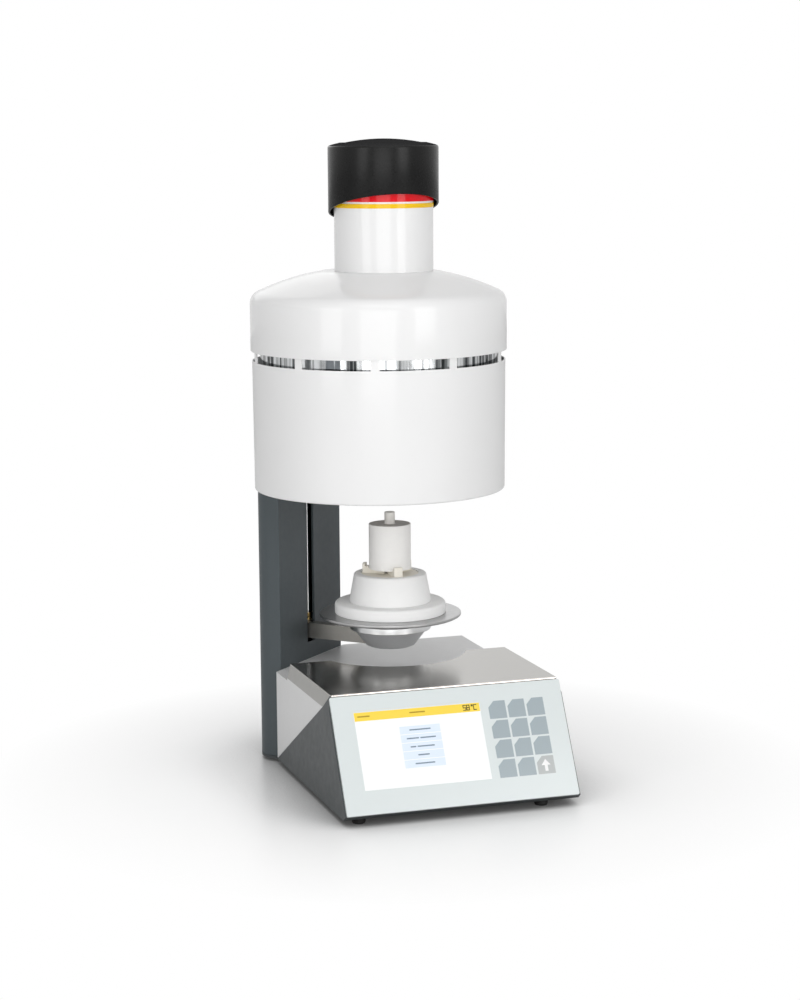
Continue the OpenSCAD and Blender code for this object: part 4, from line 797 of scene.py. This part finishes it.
def make_table():
    z0, z1 = span("table_plate")
    # The table plate takes the darker aluminium, a painted dark reflection
    lathe("table_disc", [(0, z0), (PLATE_FOOT_R, z0), (PLATE_R, z0 + PLATE_CHAMFER, 0.8),
                         (PLATE_R, z1, 0.7), (0, z1)],
          "plate_aluminium", "lift", ["table_plate"], segments=192)
    z0, z1 = span("flange_ring")
    lathe("flange_collar", [(0, z0), (FLANGE_R, z0, 1.2), (FLANGE_R, z0 + FLANGE_H, 1),
                            (FLANGE_NECK_R, z0 + FLANGE_H + FLANGE_SLOPE, 1), (FLANGE_NECK_R, z1),
                            (0, z1)],
          "turned_aluminium", "lift", ["flange_ring"])
    z0, z1 = span("insulation_tier")
    lathe("tier_disc", [(0, z0), (TIER_R, z0, 1.2), (TIER_R, z1, 4.2), (0, z1)],
          "fibre_white", "lift", ["insulation_tier"])
    z0, z1 = span("insulation_cone")
    pocket = span("firing_tray")[0]
    lathe("cone_block", [(0, z0), (CONE_FOOT_R, z0, 0.8), (CONE_STEP_R, z0 + CONE_STEP_H, 2),
                         (CONE_TOP_R, z1, 2.5), (POCKET_R, z1, 0.6), (POCKET_R, pocket),
                         (0, pocket)],
          "fibre_white", "lift", ["insulation_cone"])


def arm_line(r0):
    """Plan outline of a tray arm from a radius to the arms' round ends."""
    near = math.sqrt(r0 * r0 - ARM_HALF * ARM_HALF)
    turn = math.asin(ARM_HALF / ARM_END_R)
    return [(near, -ARM_HALF), (near, ARM_HALF)] + arc(ARM_END_R, turn, -2 * turn, 6)


def make_tray():
    z0, z1 = span("firing_tray")
    lathe("tray_disc", [(0, z0), (TRAY_R, z0, 0.5), (TRAY_R, z0 + TRAY_T, 0.8), (0, z0 + TRAY_T)],
          "ivory_ceramic", "tray", ["firing_tray"])
    seat = span("investment_ring")[0]
    levels = (("arm", 8, z0 + TRAY_T - 0.2, seat), ("step", 26.5, seat - 0.2, seat + 2.1),
              ("lug", 31, seat + 1.9, z1))
    for i in range(TRAY_ARMS):
        for part, r0, low, high in levels:
            o = prism(f"tray_{part}_{i}", arm_line(r0), low, high, "ivory_ceramic", "tray",
                      place_xy(0, 0, -90 + i * 360 / TRAY_ARMS))
            soften(o, 0.5, 3)


def make_stack():
    make_tray()
    z0, z1 = span("investment_ring")
    lathe("ring_block", [(0, z0), (RING_R, z0, 0.5), (RING_R, z1, 0.7), (BORE_MOUTH_R, z1, 0.4),
                         (BORE_R, z1 - BORE_CHAMFER), (BORE_R, z0 + RING_FLOOR),
                         (0, z0 + RING_FLOOR)],
          ["investment", "ring_top"], "tray", ["investment_ring"],
          second=lambda r, z: z > z1 - 0.4 and r < RING_R - 0.4)
    z0, z1 = span("press_plunger")
    lathe("plunger_rod", [(0, z0), (PLUNGER_R, z0, 1), (PLUNGER_R, z1, 0.8), (0, z1)],
          "plunger_ceramic", "plunger", ["press_plunger"], segments=96)


# Finish of the CAD nodes, where it isn't that of their slot
NODE_FINISH = {"heat_shield": "polished_sheet_painted_streaks", "table_bowl": "turned_aluminium",
               "lift_arm": "arm_aluminium"}
SLOT_FINISH = {"display_unit": "screen_dark", "key_film": "key_blue",
               "panel_glass": "panel_print"}
NODE_EDGES = {"base_tub": 0.9, "top_plate": 0.35, "lift_arm": 0.6, "rear_panel": 0.2,
              "mains_inlet": 0.3, "power_switch": 0.3, "column_foot_plate": 0.4,
              "column_cap": 0.4, "rail_block": 0.5, "lift_carriage": 0.6, "motor_bracket": 0.3,
              "screw_bearings": 0.4, "lift_motor": 0.3}


def dress_nodes():
    """Every CAD node gets its finish, and some get soft edges."""
    for name, o in NODES.items():
        slot = SLOT_OF[name]
        m = MATERIALS[NODE_FINISH.get(name) or SLOT_FINISH.get(slot) or slot]
        if len(o.material_slots):
            for s in o.material_slots:
                s.material = m
        else:
            o.data.materials.append(m)
        if name in NODE_EDGES:
            soften(o, NODE_EDGES[name], 2, 35)


make_hood()
make_cap()
make_column()
make_panel()
make_housing()
make_hem()
make_table()
make_stack()
dress_nodes()

# Studio, with distances in metres
AMBIENT, BACKDROP = 0.36, 1.0  # strength of the world on the object, and as it is seen
# How far the painted contact shadow on the floor reaches, and how much the floor is lifted as the
# camera sees it
CONTACT_REACH, FLOOR_GLOW = 0.13, 0.13
FLOOR_HALF, FLOOR_MIDDLE_Y = 6, -60 * MM
FADE_FROM, FADE_TO = 0.24, 0.52  # where the floor turns into the plain white around it


def math_of(tree, operation, first, second):
    n = node_of(tree, "Math", operation=operation)
    tree.links.new(first, n.inputs[0])
    if isinstance(second, float):
        n.inputs[1].default_value = second
    else:
        tree.links.new(second, n.inputs[1])
    return n.outputs[0]


def blend(tree, fac, first, second, target):
    """Sends one shader at 0 and another at 1 to an output node."""
    mix = node_of(tree, "MixShader")
    tree.links.new(fac, mix.inputs["Fac"])
    tree.links.new(first, mix.inputs[1])
    tree.links.new(second, mix.inputs[2])
    tree.links.new(mix.outputs[0], tree.nodes[target].inputs["Surface"])


def ray_world():
    """A dim light on the object that is plain white where it is seen or mirrored."""
    world = bpy.data.worlds.new("studio")
    bpy.context.scene.world = world
    world.use_nodes = True
    t = world.node_tree
    back = t.nodes["Background"]
    white = node_of(t, "Background")
    for n, strength in ((back, AMBIENT), (white, BACKDROP)):
        n.inputs["Color"].default_value = (1, 1, 1, 1)
        n.inputs["Strength"].default_value = strength
    path = node_of(t, "LightPath").outputs
    seen = math_of(t, "MAXIMUM", path["Is Camera Ray"], path["Is Transmission Ray"])
    blend(t, math_of(t, "MAXIMUM", seen, path["Is Glossy Ray"]), back.outputs[0],
          white.outputs[0], "World Output")


def floor():
    """A pale floor with a painted contact shadow, darker close under the object, that fades to
    white farther out.
    """
    bm = bmesh.new()
    bmesh.ops.create_grid(bm, x_segments=2, y_segments=2, size=FLOOR_HALF)
    mesh = mesh_from("studio_floor", bm)
    m = bpy.data.materials.new("floor_white")
    m.use_nodes = True
    t = m.node_tree
    b = shader_of(m)
    # Painted shadow: ambient occlusion darkens the floor's colour close to the object
    near = node_of(t, "AmbientOcclusion", samples=8)
    near.inputs["Distance"].default_value = CONTACT_REACH
    openness = spread(t, near.outputs["AO"], 0.25, 1, 0.25, 0.95)
    painted_shadow_tone = mixed(t, openness, (0, 0, 0), (0.95, 0.95, 0.95))
    t.links.new(painted_shadow_tone, b.inputs["Base Color"])
    b.inputs["Roughness"].default_value = 0.35
    b.inputs["Specular IOR Level"].default_value = 0.35
    seen = node_of(t, "LightPath").outputs["Is Camera Ray"]
    co = node_of(t, "TexCoord")
    away = node_of(t, "VectorMath", operation="DISTANCE")
    away.inputs[1].default_value = (AXIS_X * MM, AXIS_Y * MM + FLOOR_MIDDLE_Y, 0)
    t.links.new(co.outputs["Object"], away.inputs[0])
    far = spread(t, away.outputs["Value"], 0, 1, FADE_FROM, FADE_TO)
    glow = node_of(t, "Emission")
    t.links.new(math_of(t, "MULTIPLY", seen, FLOOR_GLOW), glow.inputs["Strength"])
    t.links.new(painted_shadow_tone, glow.inputs["Color"])
    lit = node_of(t, "AddShader")
    t.links.new(b.outputs[0], lit.inputs[0])
    t.links.new(glow.outputs[0], lit.inputs[1])
    white = node_of(t, "Emission")
    blend(t, math_of(t, "MULTIPLY", seen, far), lit.outputs[0], white.outputs[0],
          "Material Output")
    mesh.materials.append(m)
    link("studio_floor", mesh)


def lamp(name, azimuth, elevation, distance, width, height, power, aim_z):
    """A soft box at an azimuth from the front (-Y), positive to the right, aimed at the object."""
    data = bpy.data.lights.new(name, "AREA")
    data.shape, data.size, data.size_y, data.energy = "RECTANGLE", width, height, power
    o = link(name, data)
    a, e = math.radians(azimuth), math.radians(elevation)
    aim = Vector((AXIS_X * MM, AXIS_Y * MM, aim_z))
    away = Vector((math.sin(a) * math.cos(e), -math.cos(a) * math.cos(e), math.sin(e)))
    o.location = aim + away * distance
    o.rotation_euler = away.to_track_quat("Z", "Y").to_euler()


# Azimuth and elevation in degrees, distance, width and height, power in watts, height of the aim
LAMPS = {
    "key_left": (-59, 10, 2.4, 0.8, 1.3, 9, 0.42),
    "key_right": (23, 12, 2.4, 0.8, 1.3, 11.5, 0.42),
    "fill_low": (-18, 3, 3.2, 1.8, 1.0, 15, 0.35),
    "front_high": (-12, 44, 2.6, 1.5, 1.0, 7, 0.30),
    "top_soft": (-5, 64, 2.3, 2.2, 1.8, 9, 0.42),
    "back_soft": (180, 30, 2.6, 2.0, 1.6, 8, 0.42),
}

ray_world()
floor()
for name, values in LAMPS.items():
    lamp(name, *values)
